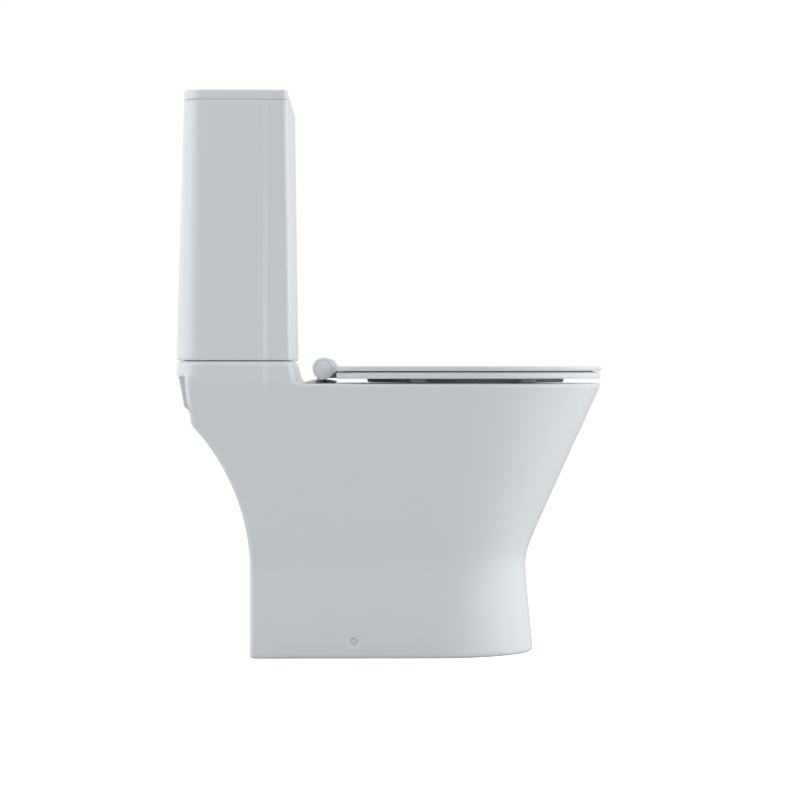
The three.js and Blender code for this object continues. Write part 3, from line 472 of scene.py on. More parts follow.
def add_bump(material, scale, depth, strength=1.0, stretch=(1, 1, 1)):
    nodes, links = material.node_tree.nodes, material.node_tree.links
    bump = nodes.new("ShaderNodeBump")
    bump.inputs["Strength"].default_value = strength
    bump.inputs["Distance"].default_value = depth * MM
    links.new(noise(material, scale, stretch=stretch), bump.inputs["Height"])
    links.new(bump.outputs["Normal"], nodes["Principled BSDF"].inputs["Normal"])


def glaze():
    """Vitreous china: a clear glassy coat over a cool white body, with a faint ripple in the glaze."""
    material = principled(
        "glaze", (0.88, 0.9, 0.91), 0.2, Coat_Weight=0.35, Coat_Roughness=0.08, Coat_IOR=1.5)
    vary_color(material, (0.865, 0.893, 0.908), (0.89, 0.908, 0.918), 9)
    vary_roughness(material, 0.16, 0.26, 22)
    add_bump(material, 38, 0.35, 0.35)
    return material


def bare_china_and_painted_shade():
    """Fired clay with no glaze on it: grey, dull and slightly grainy. On the rear apron the same grey is painted
    shade.
    """
    material = principled("bare_china_and_painted_shade", (0.63, 0.66, 0.68), 0.75)
    vary_color(material, (0.58, 0.615, 0.64), (0.66, 0.69, 0.71), 16)
    vary_roughness(material, 0.65, 0.85, 70)
    add_bump(material, 500, 0.12, 0.5)
    return material


def seat_plastic():
    """Pressed urea seat: harder white than the china, with a fine even skin."""
    material = principled("seat_plastic", (0.87, 0.885, 0.9), 0.3, Coat_Weight=0.15, Coat_Roughness=0.15)
    vary_color(material, (0.855, 0.872, 0.888), (0.88, 0.892, 0.905), 14)
    vary_roughness(material, 0.28, 0.34, 18)
    add_bump(material, 55, 0.05, 0.12)
    return material


def moulded(name, low, high, roughness):
    """Injection moulded plastic with a slight grain."""
    material = principled(name, high, roughness)
    vary_color(material, low, high, 30)
    vary_roughness(material, roughness - 0.06, roughness + 0.08, 140)
    add_bump(material, 900, 0.03, 0.5)
    return material


def metal(name, low, high, smooth, rough, stretch=(1, 1, 1)):
    material = principled(name, high, smooth, 1.0)
    vary_color(material, low, high, 40, stretch)
    vary_roughness(material, smooth, rough, 160, stretch)
    add_bump(material, 300, 0.01, 0.3, stretch)
    return material


def make_materials():
    return {
        "glaze": glaze(),
        "seat_plastic": seat_plastic(),
        "white_plastic": moulded("white_plastic", (0.78, 0.79, 0.78), (0.84, 0.85, 0.845), 0.42),
        "blue_plastic": moulded("blue_plastic", (0.36, 0.5, 0.62), (0.42, 0.56, 0.67), 0.45),
        "chrome": metal("chrome", (0.42, 0.43, 0.445), (0.5, 0.51, 0.525), 0.05, 0.12),
        "steel": metal("steel", (0.42, 0.43, 0.44), (0.55, 0.56, 0.57), 0.28, 0.42, (1, 1, 12)),
        "brass": metal("brass", (0.5, 0.36, 0.15), (0.62, 0.47, 0.21), 0.25, 0.4),
        "rubber": moulded("rubber", (0.012, 0.012, 0.014), (0.03, 0.03, 0.033), 0.65),
        "pale_rubber": moulded("pale_rubber", (0.27, 0.285, 0.295), (0.33, 0.345, 0.35), 0.5),
    }


MATERIALS = make_materials()
BARE_CHINA_AND_PAINTED_SHADE = bare_china_and_painted_shade()


def piece(obj, body, slot, *nodes, angle=35):
    """Finishes a piece: shading, material, the body it moves with and the CAD nodes it stands for."""
    shade(face_outward(obj), angle)
    obj.data.materials.clear()
    obj.data.materials.append(MATERIALS[slot])
    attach(obj, body)
    if nodes:
        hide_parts(*nodes)
    return obj


# ---------------------------------------------------------------- pan
def pan_body():
    heights = np.concatenate([np.linspace(4, 88, 12), np.linspace(94, 180, 24), np.linspace(188, 340, 20),
                              np.linspace(346, RIM_Z - RIM_ROUND - 2, 8)])
    levels = [(pan_outline(drop, inset=inset), drop) for inset, drop in rounded(3)[::-1]]
    levels += [(pan_outline(z), z) for z in heights]
    levels += [(pan_outline(RIM_Z - drop, rim_inset=inset), RIM_Z - drop)
               for inset, drop in rounded(RIM_ROUND)]
    return loft("pan_shell", levels)


def pan_hollow():
    def hollow(name, heights, rear):
        return loft(name, [(pan_outline(z, inset=PAN_WALL, rear=rear, corner=2), z) for z in heights])

    apron_inner = APRON_REAR_BOTTOM - APRON_WALL
    inner_half = APRON_HALF_WIDTH - APRON_WALL
    return [
        hollow("hollow_low", [-1, *np.linspace(90, APRON_BOTTOM, 30)], HALF_LENGTH + 20),
        hollow("hollow_high", [APRON_BOTTOM - 1, RIM_Z - DECK], apron_inner),
        block("hollow_shelf", (-inner_half, SHELF_FRONT_HIGH + PAN_WALL, RIM_Z - DECK - 1),
              (inner_half, apron_inner - 1, SHELF_Z - DECK)),
    ]


def shelf_front(z):
    lean = lerp(SHELF_FRONT_LOW, SHELF_FRONT_HIGH, (z - RIM_Z) / (SHELF_Z - RIM_Z))
    below = max(SHELF_FILLET - (z - RIM_Z), 0)
    return lean - SHELF_FILLET + math.sqrt(SHELF_FILLET**2 - below**2)


def shelf_level(z, rear, rear_corner, inset):
    front = shelf_front(max(z, RIM_Z))
    outline = box_outline(front, rear, TANK_FRONT_CORNER, rear_corner, CREASE_DEPTH, inset)
    return outline, z


def shelf_parts():
    rises = [RIM_Z + SHELF_FILLET * (1 - math.cos(a)) for a in np.linspace(0, math.pi / 2, 12)]
    riser = [shelf_level(RIM_Z - 4, pan_rear(RIM_Z) - 1, WALL_ROUND, 2)]
    riser += [shelf_level(z, pan_rear(z) + GAP, WALL_ROUND, 0) for z in [*rises, SHELF_EDGE_Z + 1]]
    rear_corner = TANK_REAR_CORNER[0]
    lip = [shelf_level(SHELF_EDGE_Z, HALF_LENGTH, rear_corner, 0)]
    top = SHELF_Z + SHELF_RISE
    lip += [shelf_level(top - drop, HALF_LENGTH, rear_corner, inset) for inset, drop in rounded(6, 8)]
    apron = prism("apron", [
        (200, APRON_BOTTOM), (APRON_REAR_BOTTOM - 6, APRON_BOTTOM), (APRON_REAR_BOTTOM + 2, APRON_BOTTOM + 4),
        (APRON_REAR_TOP, SHELF_EDGE_Z + 1), (200, SHELF_EDGE_Z + 1),
    ], -APRON_HALF_WIDTH, APRON_HALF_WIDTH)
    return [loft("riser", riser), loft("lip", lip), apron]


def bowl_level(t, grow):
    opening = math.cos(t * math.pi / 2)
    half_length = lerp(SUMP_HALF, (BOWL_REAR - BOWL_FRONT) / 2, opening)
    middle = lerp(SUMP_Y, (BOWL_REAR + BOWL_FRONT) / 2, opening)
    half_width = lerp(SUMP_HALF - 4, BOWL_HALF_WIDTH, opening)
    return oval(middle + half_length, middle - half_length, half_width, grow)


def bowl(name, grow):
    levels = []
    for k in range(1, 8):
        angle = math.radians(90 * k / 8)
        share = 0.25 + 0.75 * math.sin(angle)
        floor = bowl_level(1, grow)
        drawn = np.array([0, SUMP_Y]) + (floor - np.array([0, SUMP_Y])) * share
        levels.append((drawn, SUMP_Z - (18 + grow) * math.cos(angle)))
    levels += [(bowl_level(t, grow), lerp(RIM_Z, SUMP_Z, t)) for t in np.linspace(1, 0.03, 40)]
    if grow > 0:
        levels.append((bowl_level(0, grow), RIM_Z - 3))
    else:
        for inset, drop in rounded(7, 6)[:-1]:
            levels.append((bowl_level(0, inset), RIM_Z - drop))
        levels.append((bowl_level(0, 7), RIM_Z + 3))
    return loft(name, levels)


def post(name, radius, z0, z1, x=0.0, y=0.0, steps=48):
    return lathe(name, [(0, z0), (radius, z0), (radius, z1), (0, z1)], (x, y, 0), steps=steps)


def spigot(name, radius, y0, y1, z):
    drum = lathe(name, [(0, y0), (radius, y0), (radius, y1), (0, y1)], steps=64)
    for vertex in drum.data.vertices:
        x, y, along = vertex.co
        vertex.co = (x, along, y + z * MM)
    return drum


def inside_pan(x, y, z, inset):
    """True for points inside the skirt, at least inset away from its outside."""
    front, side, nose = pan_measures(z)
    along = np.clip((nose - y) / (front + nose - inset), 0, 1)
    return np.abs(x) < (side - inset) * np.sqrt(1 - along**2)


def inside_bowl(x, y, z, grow):
    opening = np.cos(np.clip((RIM_Z - z) / (RIM_Z - SUMP_Z), 0, 1) * math.pi / 2)
    half_length = lerp(SUMP_HALF, (BOWL_REAR - BOWL_FRONT) / 2, opening) + grow
    middle = lerp(SUMP_Y, (BOWL_REAR + BOWL_FRONT) / 2, opening)
    half_width = lerp(SUMP_HALF - 4, BOWL_HALF_WIDTH, opening) + grow
    return (x / half_width) ** 2 + ((y - middle) / half_length) ** 2 < 1


def unglaze_back_and_paint_apron_shade(pan):
    """The hollow of the pan and its underside have no glaze, as the kiln leaves them. The rear apron takes the
    same dull grey as painted shade, for the shade in its recess behind the side walls.
    """
    mesh = pan.data
    middle = np.zeros(len(mesh.polygons) * 3)
    mesh.polygons.foreach_get("center", middle)
    x, y, z = middle.reshape(-1, 3).T / MM
    hollow = inside_pan(x, y, z, 7) & ~inside_bowl(x, y, z, 4) & (z < RIM_Z - 3)
    # Painted shade: the recessed rear apron gets the dull grey to darken it where shade falls behind the side
    # walls.
    apron = (np.abs(x) < APRON_HALF_WIDTH + 1.6) & (y > APRON_REAR_BOTTOM - APRON_WALL)
    apron &= (z > APRON_BOTTOM - 2) & (z < SHELF_EDGE_Z - 0.8)
    underside = z < 0.6
    mesh.materials.append(BARE_CHINA_AND_PAINTED_SHADE)
    bare_and_painted_shade = (hollow | apron | underside).astype(np.int32)
    mesh.polygons.foreach_set("material_index", bare_and_painted_shade)


def make_pan():
    pan = combine(pan_body(), shelf_parts(), "UNION")
    combine(pan, pan_hollow(), "DIFFERENCE")
    outlet_z = TRAP_ROUTE[-1][1]
    combine(pan, [
        bowl("bowl_outside", BOWL_WALL), pipe("trap", TRAP_ROUTE, TRAP_OUTER),
        spigot("outlet", OUTLET_OUTER, OUTLET_START, OUTLET_END, outlet_z),
        pipe("inlet", INLET_ROUTE, INLET_OUTER),
        post("well", WELL_OUTER, WELL_UNDERSIDE_Z, SHELF_Z - 2, 0, VALVE_Y),
    ], "UNION")
    bores = [
        bowl("bowl_inside", 0), pipe("trap_bore", TRAP_ROUTE, TRAP_BORE),
        spigot("outlet_bore", OUTLET_BORE, OUTLET_START + 12, OUTLET_END + 12, outlet_z),
        pipe("inlet_bore", INLET_ROUTE, INLET_BORE),
        post("well_bore", WELL_BORE, WELL_FLOOR_Z, SHELF_Z + 2, 0, VALVE_Y),
    ]
    shank_low, shank_high = box_mm("fill_valve_washer")
    shank = (shank_low + shank_high) / 2
    bores.append(post("shank_hole", SHANK_POCKET, SHELF_Z - 30, SHELF_Z + 2, shank[0], shank[1]))
    for word in ("left", "right"):
        for fastener, low in (("coupling_bolt", SHELF_Z - 30), ("hinge_bolt", RIM_Z - 20)):
            x, y, _ = sum(box_mm(f"{fastener}_{word}")) / 2
            bores.append(post(f"{fastener}_hole_{word}", FASTENER_HOLE, low, low + 34, x, y, 24))
        cap_low, cap_high = box_mm(f"side_cap_{word}")
        middle = (cap_low + cap_high) / 2
        section = [(0, -20), (SIDE_HOLE, -20), (SIDE_HOLE, 20), (0, 20)]
        bores.append(lathe(f"side_hole_{word}", section, middle, "X", 32))
    combine(pan, bores, "DIFFERENCE")
    soften(pan, CHINA_VOXEL, CHINA_SMOOTHING)
    nodes = ("pan", "bowl", "flush_duct", "trapway")
    piece(pan, "bowl_and_cistern", "glaze", *nodes, angle=60)
    unglaze_back_and_paint_apron_shade(pan)


# ---------------------------------------------------------------- cistern and its lid
def make_cistern():
    bottom, top = TANK_LOW[2] - TANK_DROP, TANK_HIGH[2]
    levels = [(tank_outline(bottom + drop, inset), bottom + drop) for inset, drop in rounded(3)[::-1]]
    levels += [(tank_outline(z, 0), z) for z in np.linspace(bottom + 8, top - 8, 16)]
    levels += [(tank_outline(top - drop, inset), top - drop) for inset, drop in rounded(1.6, 4)]
    levels += [(tank_outline(top - drop, TANK_WALL - inset), top - drop)
               for inset, drop in rounded(1.6, 4)[::-1]]
    levels += [(tank_outline(z, TANK_WALL), z) for z in (top - 20, bottom + 30)]
    levels += [(tank_outline(bottom + 10 + drop, TANK_WALL + inset), bottom + 10 + drop)
               for inset, drop in rounded(8)]
    tank = loft("cistern_shell", levels)
    holes = [post("valve_hole", 32, bottom - 4, bottom + 15, 0, VALVE_Y)]
    shank = sum(box_mm("fill_valve_washer")) / 2
    holes.append(post("shank_hole", 12.4, bottom - 4, bottom + 15, shank[0], shank[1], 32))
    for word in ("left", "right"):
        bolt = sum(box_mm(f"coupling_bolt_{word}")) / 2
        holes.append(post(f"bolt_hole_{word}", 5.5, bottom - 4, bottom + 15, bolt[0], bolt[1], 24))
    combine(tank, holes, "DIFFERENCE")
    return piece(tank, "bowl_and_cistern", "glaze", "cistern")


def make_cistern_lid():
    base, top = TANK_HIGH[2] + GAP, COVER_HIGH[2]
    lip_out, lip_in, lip_low = 11, 19, COVER_LOW[2]
    skin = top - 7

    def level(z, inset):
        return tank_outline(TANK_HIGH[2], inset), z

    levels = [level(skin, lip_in + 4), level(skin - 1.2, lip_in + 1.2), level(skin - 4, lip_in)]
    levels += [level(lip_low + 1, lip_in), level(lip_low, lip_in + 1), level(lip_low, lip_out + 1)]
    levels += [level(lip_low + 1, lip_out), level(base, lip_out)]
    levels += [level(base + drop, inset) for inset, drop in rounded(1.5, 4)[::-1]]
    levels += [level(top - drop, inset) for inset, drop in rounded(2.8, 6)]
    lid = loft("cistern_lid_shell", levels)
    combine(lid, [post("button_hole", 24.6, base - 5, top + 4, 0, VALVE_Y)], "DIFFERENCE")
    return piece(lid, "cistern_cover", "glaze", "cistern_lid", angle=30)


# ---------------------------------------------------------------- flush button
def make_button_housing():
    low, high = box_mm("button_housing")
    top, bottom = high[2], low[2]
    seat_z = COVER_HIGH[2] + GAP
    section = [
        (14, bottom), (24, bottom), (24, seat_z), (28.4, seat_z), (29, seat_z + 0.6),
        (28.9, top - 1.0), (28.2, top - 0.3), (27, top), (22.6, top), (21.7, top - 0.4),
        (21.4, top - 1.2), (21.4, bottom + 3), (14, bottom + 3),
    ]
    ring = lathe("button_bezel", section, (0, VALVE_Y, 0), steps=96)
    return piece(ring, "cistern_cover", "chrome", "button_housing", angle=25)


def make_button(name, body, side):
    """One half of the split button, cut along a straight line, with soft edges and a push rod."""
    low, high = box_mm(name)
    rod_low, top = low[2], high[2]
    bottom, radius = BUTTON_UNDERSIDE_Z, BUTTON_RADIUS
    split = low[0] if side > 0 else high[0]
    reach = math.degrees(math.acos(abs(split) / radius))
    middle = 0 if side > 0 else 180
    if side < 0:
        reach = 180 - math.degrees(math.acos(split / radius))
    edge = arc(0, VALVE_Y, radius, radius, middle - reach, middle + reach, 60)
    centre = edge.mean(axis=0)

    def level(z, inset):
        spokes = edge - centre
        return centre + spokes * (1 - inset / np.linalg.norm(spokes, axis=1, keepdims=True)), z

    levels = [level(bottom, 0)] + [level(top - drop, inset) for inset, drop in rounded(1.4, 5)]
    levels += [level(top - 0.15, 5)]
    cap = loft(f"{name}_cap", levels)
    rod_x = 9.5 if side > 0 else -7
    section = [(0, rod_low), (1.9, rod_low), (2.5, rod_low + 1.5), (2.5, bottom + 2), (0, bottom + 2)]
    rod = lathe("rod", section, (rod_x, VALVE_Y, 0), steps=24)
    combine(cap, [rod], "UNION")
    return piece(cap, body, "chrome", name, angle=25)


# ---------------------------------------------------------------- seat and seat lid
def seat_outline(low, high, inset, corner=LID_CORNER):
    """Straight sides, rounded rear corners and an oval nose."""
    half = high[0] - inset
    radius = corner - inset
    rear = high[1] - inset
    front = low[1] + inset
    left = np.vstack([
        arc(-half + radius, rear - radius, radius, radius, 90, 180, 12),
        np.column_stack([np.full(12, -half), np.linspace(rear - radius - 4, NOSE_START_RIM + 6, 12)]),
    ])
    nose = arc(0, NOSE_START_RIM, half, NOSE_START_RIM - front, 180, 360, 96)
    return np.vstack([left, nose, mirrored(left)])


def by_angle(outline, centre, count=240):
    """The outline again, with its points at even angles around centre."""
    closing = np.vstack([outline[1:], outline[:1]])
    shares = np.linspace(0, 1, 12, endpoint=False)[:, None]
    dense = np.vstack([a + (b - a) * shares for a, b in zip(outline, closing)])
    offset = dense - centre
    angles = np.unwrap(np.arctan2(offset[:, 1], offset[:, 0]))
    radii = np.linalg.norm(offset, axis=1)
    order = np.argsort(angles)
    wanted = np.linspace(-math.pi, math.pi, count, endpoint=False)
    base = angles[order]
    found = np.interp(wanted, np.concatenate([base - 2 * math.pi, base, base + 2 * math.pi]),
                      np.tile(radii[order], 3))
    return centre + np.column_stack([found * np.cos(wanted), found * np.sin(wanted)])


def knuckle(name, inner, outer, side, radius, round_edge):
    """A hinge barrel around the hinge axis, from inner to outer, with a rounded outer end."""
    length = outer - inner
    section = [(0, 0), (radius - 0.4, 0), (radius, 0.4)]
    section += [(radius - inset, length - drop) for inset, drop in rounded(round_edge, 6)]
    if round_edge > 2:
        rim = radius - round_edge
        section += [(rim - 0.2, length - 0.2), (rim - 0.4, length - 1.1), (rim - 0.8, length - 1.1),
                    (rim - 1, length - 0.3), (rim - 1.5, length)]
    section += [(0, length)]
    return lathe(name, section, (side * inner, HINGE_Y, HINGE_Z), "X" if side > 0 else "-X", 72)


def side_span(inner, outer, side):
    return (inner, outer) if side > 0 else (-outer, -inner)


def make_seat_ring():
    plate_low, plate_high = RING_LOW.copy(), RING_HIGH.copy()
    plate_high[1] = SEAT_REAR
    top = SEAT_TOP
    bottom = SEAT_BOTTOM
    hole, lip = SEAT_HOLE, SEAT_LIP

    def outer(inset):
        return by_angle(seat_outline(plate_low, plate_high, inset, SEAT_CORNER), SEAT_MIDDLE)

    def inner(shape, grow):
        return by_angle(oval(**shape, grow=grow), SEAT_MIDDLE)

    rounding = [(outer(4 * (1 - math.cos(a))), top - 4 * (1 - math.sin(a)))
                for a in np.radians(np.linspace(0, 90, 9))]
    levels = [(outer(1.6), bottom), (outer(0.5), bottom + 0.5), (outer(0), bottom + 1.6)]
    levels += rounding
    crown = (outer(30) + inner(hole, 30)) / 2
    levels += [
        (outer(6), top + 0.5), (outer(8.5), top + 1.0), (outer(10.5), top + 1.6), (outer(14), top + 2.1),
        (crown, top + 2.3),
        (inner(hole, 26), top + 1.8), (inner(hole, 17), top + 0.9), (inner(hole, 10), top - 0.4),
        (inner(hole, 5), top - 2), (inner(hole, 1.8), top - 4.4), (inner(hole, 0), top - 8),
        (inner(hole, 0.6), RING_LOW[2] + 1.6), (inner(hole, 2), RING_LOW[2]),
        (inner(lip, -3), RING_LOW[2]), (inner(lip, -1), RING_LOW[2] + 1), (inner(lip, 0), bottom - 1),
        (inner(lip, 1), bottom),
    ]
    ring = loft("seat_ring_shell", levels, closed=True)
    parts = []
    for side in (-1, 1):
        parts.append(knuckle("barrel", *SEAT_KNUCKLE, side, 15.5, 0.8))
        neck = [(plate_high[1] - 14, bottom + 0.6), (HINGE_Y - 3, bottom + 0.6), (HINGE_Y, HINGE_Z),
                (HINGE_Y - 12.5, HINGE_Z - 4), (plate_high[1] + 2, LID_BOTTOM - 0.5),
                (plate_high[1] - 10, LID_BOTTOM - 0.4), (plate_high[1] - 14, top + 1.9)]
        parts.append(prism("neck", neck, *side_span(*SEAT_KNUCKLE, side), 0.8))
    combine(ring, parts, "UNION")
    return piece(ring, "seat", "seat_plastic", "seat_ring", angle=35)


def lid_neck():
    """Side profile of the lid's arm: a slim plate that swells into the hinge barrel."""
    upper = [(60, LID_TOP - 0.2), (74.5, LID_TOP - 0.1), (79.5, LID_TOP + 0.3), (81.8, LID_TOP + 0.8),
             (83.7, LID_TOP + 1.7), (85.9, LID_TOP + 4.1), (88.2, LID_TOP + 7.4), (91.3, LID_TOP + 10.4),
             (95, LID_TOP + 12.1), (98, LID_TOP + 12.5)]
    lower = [(HINGE_Y - 1, HINGE_Z - 15.3), (98.6, HINGE_Z - 15.1), (95.4, HINGE_Z - 14.5),
             (92.8, HINGE_Z - 13.0), (88.4, HINGE_Z - 8.8), (85.5, HINGE_Z - 5.9),
             (82.6, HINGE_Z - 4.1), (77, HINGE_Z - 3.5), (60, HINGE_Z - 3.4)]
    return upper + [(HINGE_Y - 1, HINGE_Z + 14.5)] + lower


def make_seat_lid():
    plate_low, plate_high = LID_LOW.copy(), LID_HIGH.copy()
    plate_high[1] = LID_REAR
    top, bottom = LID_TOP, LID_BOTTOM

    def level(z, inset):
        return seat_outline(plate_low, plate_high, inset), z

    levels = [
        level(bottom + 2.4, 13), level(bottom + 2.0, 11.6), level(bottom + 0.4, 10.4), level(bottom, 9.6),
        level(bottom, 3.2), level(bottom + 0.4, 2.0), level(bottom + 1.4, 0.9),
        level(bottom + 2.4, 0.3), level(bottom + 3.4, 0),
    ]
    levels += [level(top - drop, inset) for inset, drop in rounded(1.6, 5)]
    lid = loft("seat_lid_shell", levels)
    parts = []
    for side in (-1, 1):
        parts.append(knuckle("barrel", *LID_KNUCKLE, side, 15.8, 3))
        parts.append(prism("neck", lid_neck(), *side_span(LID_KNUCKLE[0], LID_NECK_END, side), 1.6))
    combine(lid, parts, "UNION")
    return piece(lid, "lid", "seat_plastic", "seat_lid", angle=35)


def make_buffer(name, body, slot, low_z=None, high_z=None):
    """A soft oval pad, as wide as the CAD pad."""
    low, high = box_mm(name)
    low[2] = low[2] if low_z is None else low_z
    high[2] = high[2] if high_z is None else high_z
    size, middle = high - low, (high + low) / 2
    height = size[2]
    round_edge = min(height * 0.45, 2.2)

    def level(z, inset):
        half = np.maximum(size[:2] / 2 - inset, 0.5)
        angles = np.linspace(0, 2 * math.pi, 64, endpoint=False)
        spread = 2 / 3.0
        x = np.sign(np.cos(angles)) * np.abs(np.cos(angles)) ** spread * half[0]
        y = np.sign(np.sin(angles)) * np.abs(np.sin(angles)) ** spread * half[1]
        return np.column_stack([middle[0] + x, middle[1] + y]), z

    levels = [level(low[2] + drop, inset) for inset, drop in rounded(round_edge, 5)[::-1]]
    levels += [level(high[2] - drop, inset) for inset, drop in rounded(round_edge * 0.4, 3)]
    pad = loft(f"{name}_pad", levels)
    return piece(pad, body, slot, name, angle=50)


# ---------------------------------------------------------------- hinge
def make_pillar(word, side):
    stem_x = side * 77.5
    barrel = knuckle(f"hinge_pillar_{word}_cast", *PILLAR_KNUCKLE, side, 15.3, 0.8)
    low, high = box_mm(f"hinge_bolt_{word}")
    bolt_y = (low[1] + high[1]) / 2
    stem = post("stem", STEM_RADIUS, RIM_Z + GAP, HINGE_Z - 6, stem_x, bolt_y - STEM_FORWARD)
    combine(barrel, [stem], "UNION")
    return piece(barrel, "bowl_and_cistern", "chrome", f"hinge_pillar_{word}")


def make_rosette(word):
    """A low dome that rises faster on its front than behind."""
    low, high = box_mm(f"hinge_rosette_{word}")
    middle = (low + high) / 2
    base, rise = low[2], high[2] - low[2]
    section = [(ROSETTE_BORE, base), (ROSETTE_RADIUS - 0.6, base), (ROSETTE_RADIUS, base + 0.5)]
    for t in np.linspace(0.04, 1, 16):
        radius = lerp(ROSETTE_RADIUS, ROSETTE_BORE, t)
        section.append((radius, base + 0.5 + (rise - 0.5) * math.sin(t * math.pi / 2) ** 0.85))
    dome = lathe(f"hinge_rosette_{word}_dome", section, (middle[0], middle[1], 0), steps=96)
    for vertex in dome.data.vertices:
        forward = max((middle[1] - vertex.co.y / MM) / ROSETTE_RADIUS, 0)
        height = max((vertex.co.z / MM - base) / rise, 0)
        vertex.co.z = (base + rise * height ** (1 - 0.6 * forward)) * MM
    return piece(dome, "bowl_and_cistern", "chrome", f"hinge_rosette_{word}", angle=30)


def make_side_cap(word, side):
    """A domed plug that hides the floor fixing screw."""
    low, high = box_mm(f"side_cap_{word}")
    middle = (low + high) / 2
    section = [(0, -1.5), (5.3, -1.5), (5.3, 0.2), (4.9, 0.8)]
    section += [(4.9 * math.cos(a), 0.8 + 0.7 * math.sin(a)) for a in np.radians([20, 40, 60, 80])]
    section.append((0, 1.5))
    plug = lathe(f"side_cap_{word}_plug", section, middle, "X" if side > 0 else "-X", 40)
    return piece(plug, "bowl_and_cistern", "white_plastic", f"side_cap_{word}", angle=30)


# ---------------------------------------------------------------- fittings that keep their CAD shape
def finish_cad_nodes():
    slots = {entry["node"]: entry["material_slot"] for entry in frame["record"]["subparts"]}
    for name, node in frame["nodes"].items():
        if node.hide_render:
            continue
        shade(node, 32)
        node.data.materials.clear()
        node.data.materials.append(MATERIALS[slots[name]])
        bevel = node.modifiers.new("edges", "BEVEL")
        bevel.width = 0.5 * MM
        bevel.segments = 2
        bevel.limit_method = "ANGLE"
        bevel.angle_limit = math.radians(40)


# ---------------------------------------------------------------- stage, camera and light
def make_floor():
    mesh = bpy.data.meshes.new("floor")
    reach = 12.0
    corners = [(-reach, -reach, 0), (reach, -reach, 0), (reach, reach, 0), (-reach, reach, 0)]
    mesh.from_pydata(corners, [], [(0, 1, 2, 3)])
    floor = bpy.data.objects.new("floor", mesh)
    bpy.context.scene.collection.objects.link(floor)
    material = bpy.data.materials.new("floor_paper")
    material.use_nodes = True
    nodes, links = material.node_tree.nodes, material.node_tree.links
    shader = nodes["Principled BSDF"]
    shader.inputs["Base Color"].default_value = (0.72, 0.72, 0.72, 1)
    shader.inputs["Roughness"].default_value = 0.9
    shader.inputs["Specular IOR Level"].default_value = 0.0
    shader.inputs["Emission Color"].default_value = (1, 1, 1, 1)
    seen = nodes.new("ShaderNodeLightPath")
    lift = nodes.new("ShaderNodeMath")
    lift.operation = "MULTIPLY"
    lift.inputs[1].default_value = 0.82
    links.new(seen.outputs["Is Camera Ray"], lift.inputs[0])
    links.new(lift.outputs[0], shader.inputs["Emission Strength"])
    mesh.materials.append(material)
    floor.visible_glossy = False


def make_world():
    """A white studio. The wall that the toilet's side faces is dimmer than the walls beside it, and
    what the glaze mirrors of it comes in broad soft steps, as from panels."""
    world = bpy.data.worlds.new("studio")
    bpy.context.scene.world = world
    world.use_nodes = True
    nodes, links = world.node_tree.nodes, world.node_tree.links
    nodes.clear()

    def scaled(socket, from_min, from_max, to_min, to_max, smooth=True):
        span = nodes.new("ShaderNodeMapRange")
        span.interpolation_type = "SMOOTHSTEP" if smooth else "LINEAR"
        limits = {"From Min": from_min, "From Max": from_max, "To Min": to_min, "To Max": to_max}
        for name, value in limits.items():
            span.inputs[name].default_value = value
        links.new(socket, span.inputs["Value"])
        return span.outputs["Result"]

    def product(a, b):
        node = nodes.new("ShaderNodeMath")
        node.operation = "MULTIPLY"
        links.new(a, node.inputs[0])
        links.new(b, node.inputs[1])
        return node.outputs[0]

    coordinates = nodes.new("ShaderNodeTexCoord")
    split = nodes.new("ShaderNodeSeparateXYZ")
    links.new(coordinates.outputs["Generated"], split.inputs[0])
    soft = product(
        scaled(split.outputs["X"], -1, 0.2, *WALL_LIGHT), scaled(split.outputs["Z"], -1, 1, *HEIGHT_LIGHT))
    ramp = nodes.new("ShaderNodeValToRGB")
    stops = ramp.color_ramp.elements
    for place, strength in MIRRORED_STEPS:
        share = (place + 1) / 2
        stop = stops[0] if place == -1 else stops.new(share)
        stop.position = share
        stop.color = (strength, strength, strength, 1)
    stops.remove(stops[-1])
    links.new(scaled(split.outputs["X"], -1, 1, 0, 1, False), ramp.inputs["Fac"])
    sides = scaled(split.outputs["Y"], -0.5, 0.5, *MIRRORED_SIDES)
    below = scaled(split.outputs["Z"], -0.5, 0.1, *MIRRORED_LOW)
    steps = scaled(ramp.outputs["Color"], 0, 1, 0, MIRRORED_FULL, False)
    mirrored_strength = product(product(steps, sides), below)
    path = nodes.new("ShaderNodeLightPath")
    strength = nodes.new("ShaderNodeMix")
    links.new(path.outputs["Is Glossy Ray"], strength.inputs["Factor"])
    links.new(soft, strength.inputs["A"])
    links.new(mirrored_strength, strength.inputs["B"])
    lit = nodes.new("ShaderNodeBackground")
    lit.inputs["Color"].default_value = (*STUDIO_TINT, 1)
    links.new(strength.outputs["Result"], lit.inputs["Strength"])
    seen = nodes.new("ShaderNodeBackground")
    seen.inputs["Color"].default_value = (1, 1, 1, 1)
    mix = nodes.new("ShaderNodeMixShader")
    links.new(path.outputs["Is Camera Ray"], mix.inputs[0])
    links.new(lit.outputs[0], mix.inputs[1])
    links.new(seen.outputs[0], mix.inputs[2])
    output = nodes.new("ShaderNodeOutputWorld")
    links.new(mix.outputs[0], output.inputs["Surface"])


def area_light(name, place, target, size, power, color=(1, 1, 1)):
    light = bpy.data.lights.new(name, "AREA")
    light.shape = "RECTANGLE"
    light.size, light.size_y = size
    light.energy = power
    light.color = color
    obj = bpy.data.objects.new(name, light)
    obj.location = place
    obj.rotation_euler = (Vector(target) - Vector(place)).to_track_quat("-Z", "Y").to_euler()
    obj.visible_glossy = False
    bpy.context.scene.collection.objects.link(obj)


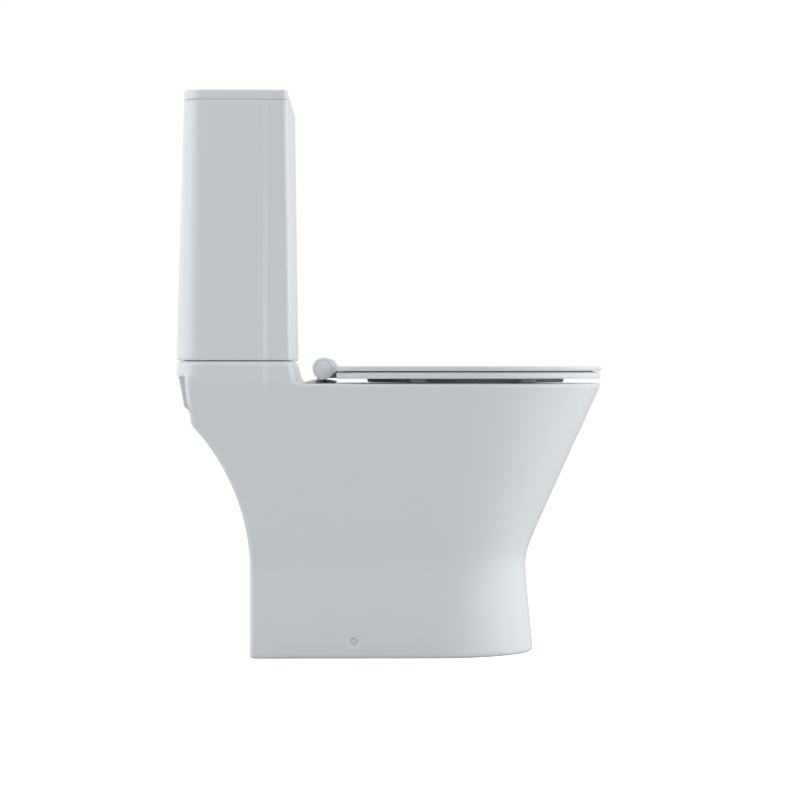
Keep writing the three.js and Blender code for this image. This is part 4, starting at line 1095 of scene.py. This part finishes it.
def make_camera():
    camera = bpy.data.cameras.new("camera")
    camera.lens = CAMERA_LENS
    camera.clip_end = 100
    obj = bpy.data.objects.new("camera", camera)
    obj.location = CAMERA_PLACE
    heading = Vector((1, -math.tan(math.radians(CAMERA_YAW)), -math.tan(math.radians(CAMERA_DIP))))
    obj.rotation_euler = heading.to_track_quat("-Z", "Y").to_euler()
    bpy.context.scene.collection.objects.link(obj)
    bpy.context.scene.camera = obj


# Brightness of the studio on the side the toilet's flank faces and behind the toilet, then from
# below and above.
WALL_LIGHT = (0.5, 0.75)
HEIGHT_LIGHT = (0.86, 1.18)
# Brightness of what the glaze mirrors, against the direction's X: straight back, then to the sides.
MIRRORED_STEPS = [
    (-1, 0.17), (-0.997, 0.17), (-0.986, 0.44), (-0.9, 0.48), (-0.83, 0.9),
    (-0.3, 0.95), (0.1, 0.42), (0.9, 0.36),
]
# The same from below, then from above.
MIRRORED_LOW = (0.25, 1.0)
MIRRORED_FULL = 2.2
MIRRORED_SIDES = (0.75, 1.0)
STUDIO_TINT = (0.93, 0.97, 1.0)
NOSE_LIGHT_POWER = 48
WALL_LIGHT_POWER = 33
SIDE_LIGHT_TINT = (1.0, 0.985, 0.97)
CAMERA_LENS = 109.1
CAMERA_PLACE = (-3.635, 0.039, 0.4195)
CAMERA_YAW = 0.78
CAMERA_DIP = 0.709

bpy.context.scene.view_settings.view_transform = "Standard"
make_camera()
make_world()
make_floor()
area_light("right_panel", (0.5, -3.0, 0.7), (0, -0.1, 0.4), (2.2, 2.2), NOSE_LIGHT_POWER, SIDE_LIGHT_TINT)
area_light("left_panel", (0.4, 3.0, 0.9), (0, 0.1, 0.4), (2.2, 2.2), WALL_LIGHT_POWER, SIDE_LIGHT_TINT)

make_pan()
make_cistern()
make_cistern_lid()
make_button_housing()
make_button("full_flush_button", "full_button", -1)
make_button("half_flush_button", "half_button", 1)
make_seat_ring()
make_seat_lid()
for word, side in (("left", 1), ("right", -1)):
    make_pillar(word, side)
    make_rosette(word)
    make_side_cap(word, side)
    for place in ("rear", "front"):
        make_buffer(f"seat_buffer_{place}_{word}", "seat", "pale_rubber")
        make_buffer(f"lid_buffer_{place}_{word}", "lid", "pale_rubber", SEAT_TOP + 2.3, LID_BOTTOM + 2.2)
finish_cad_nodes()
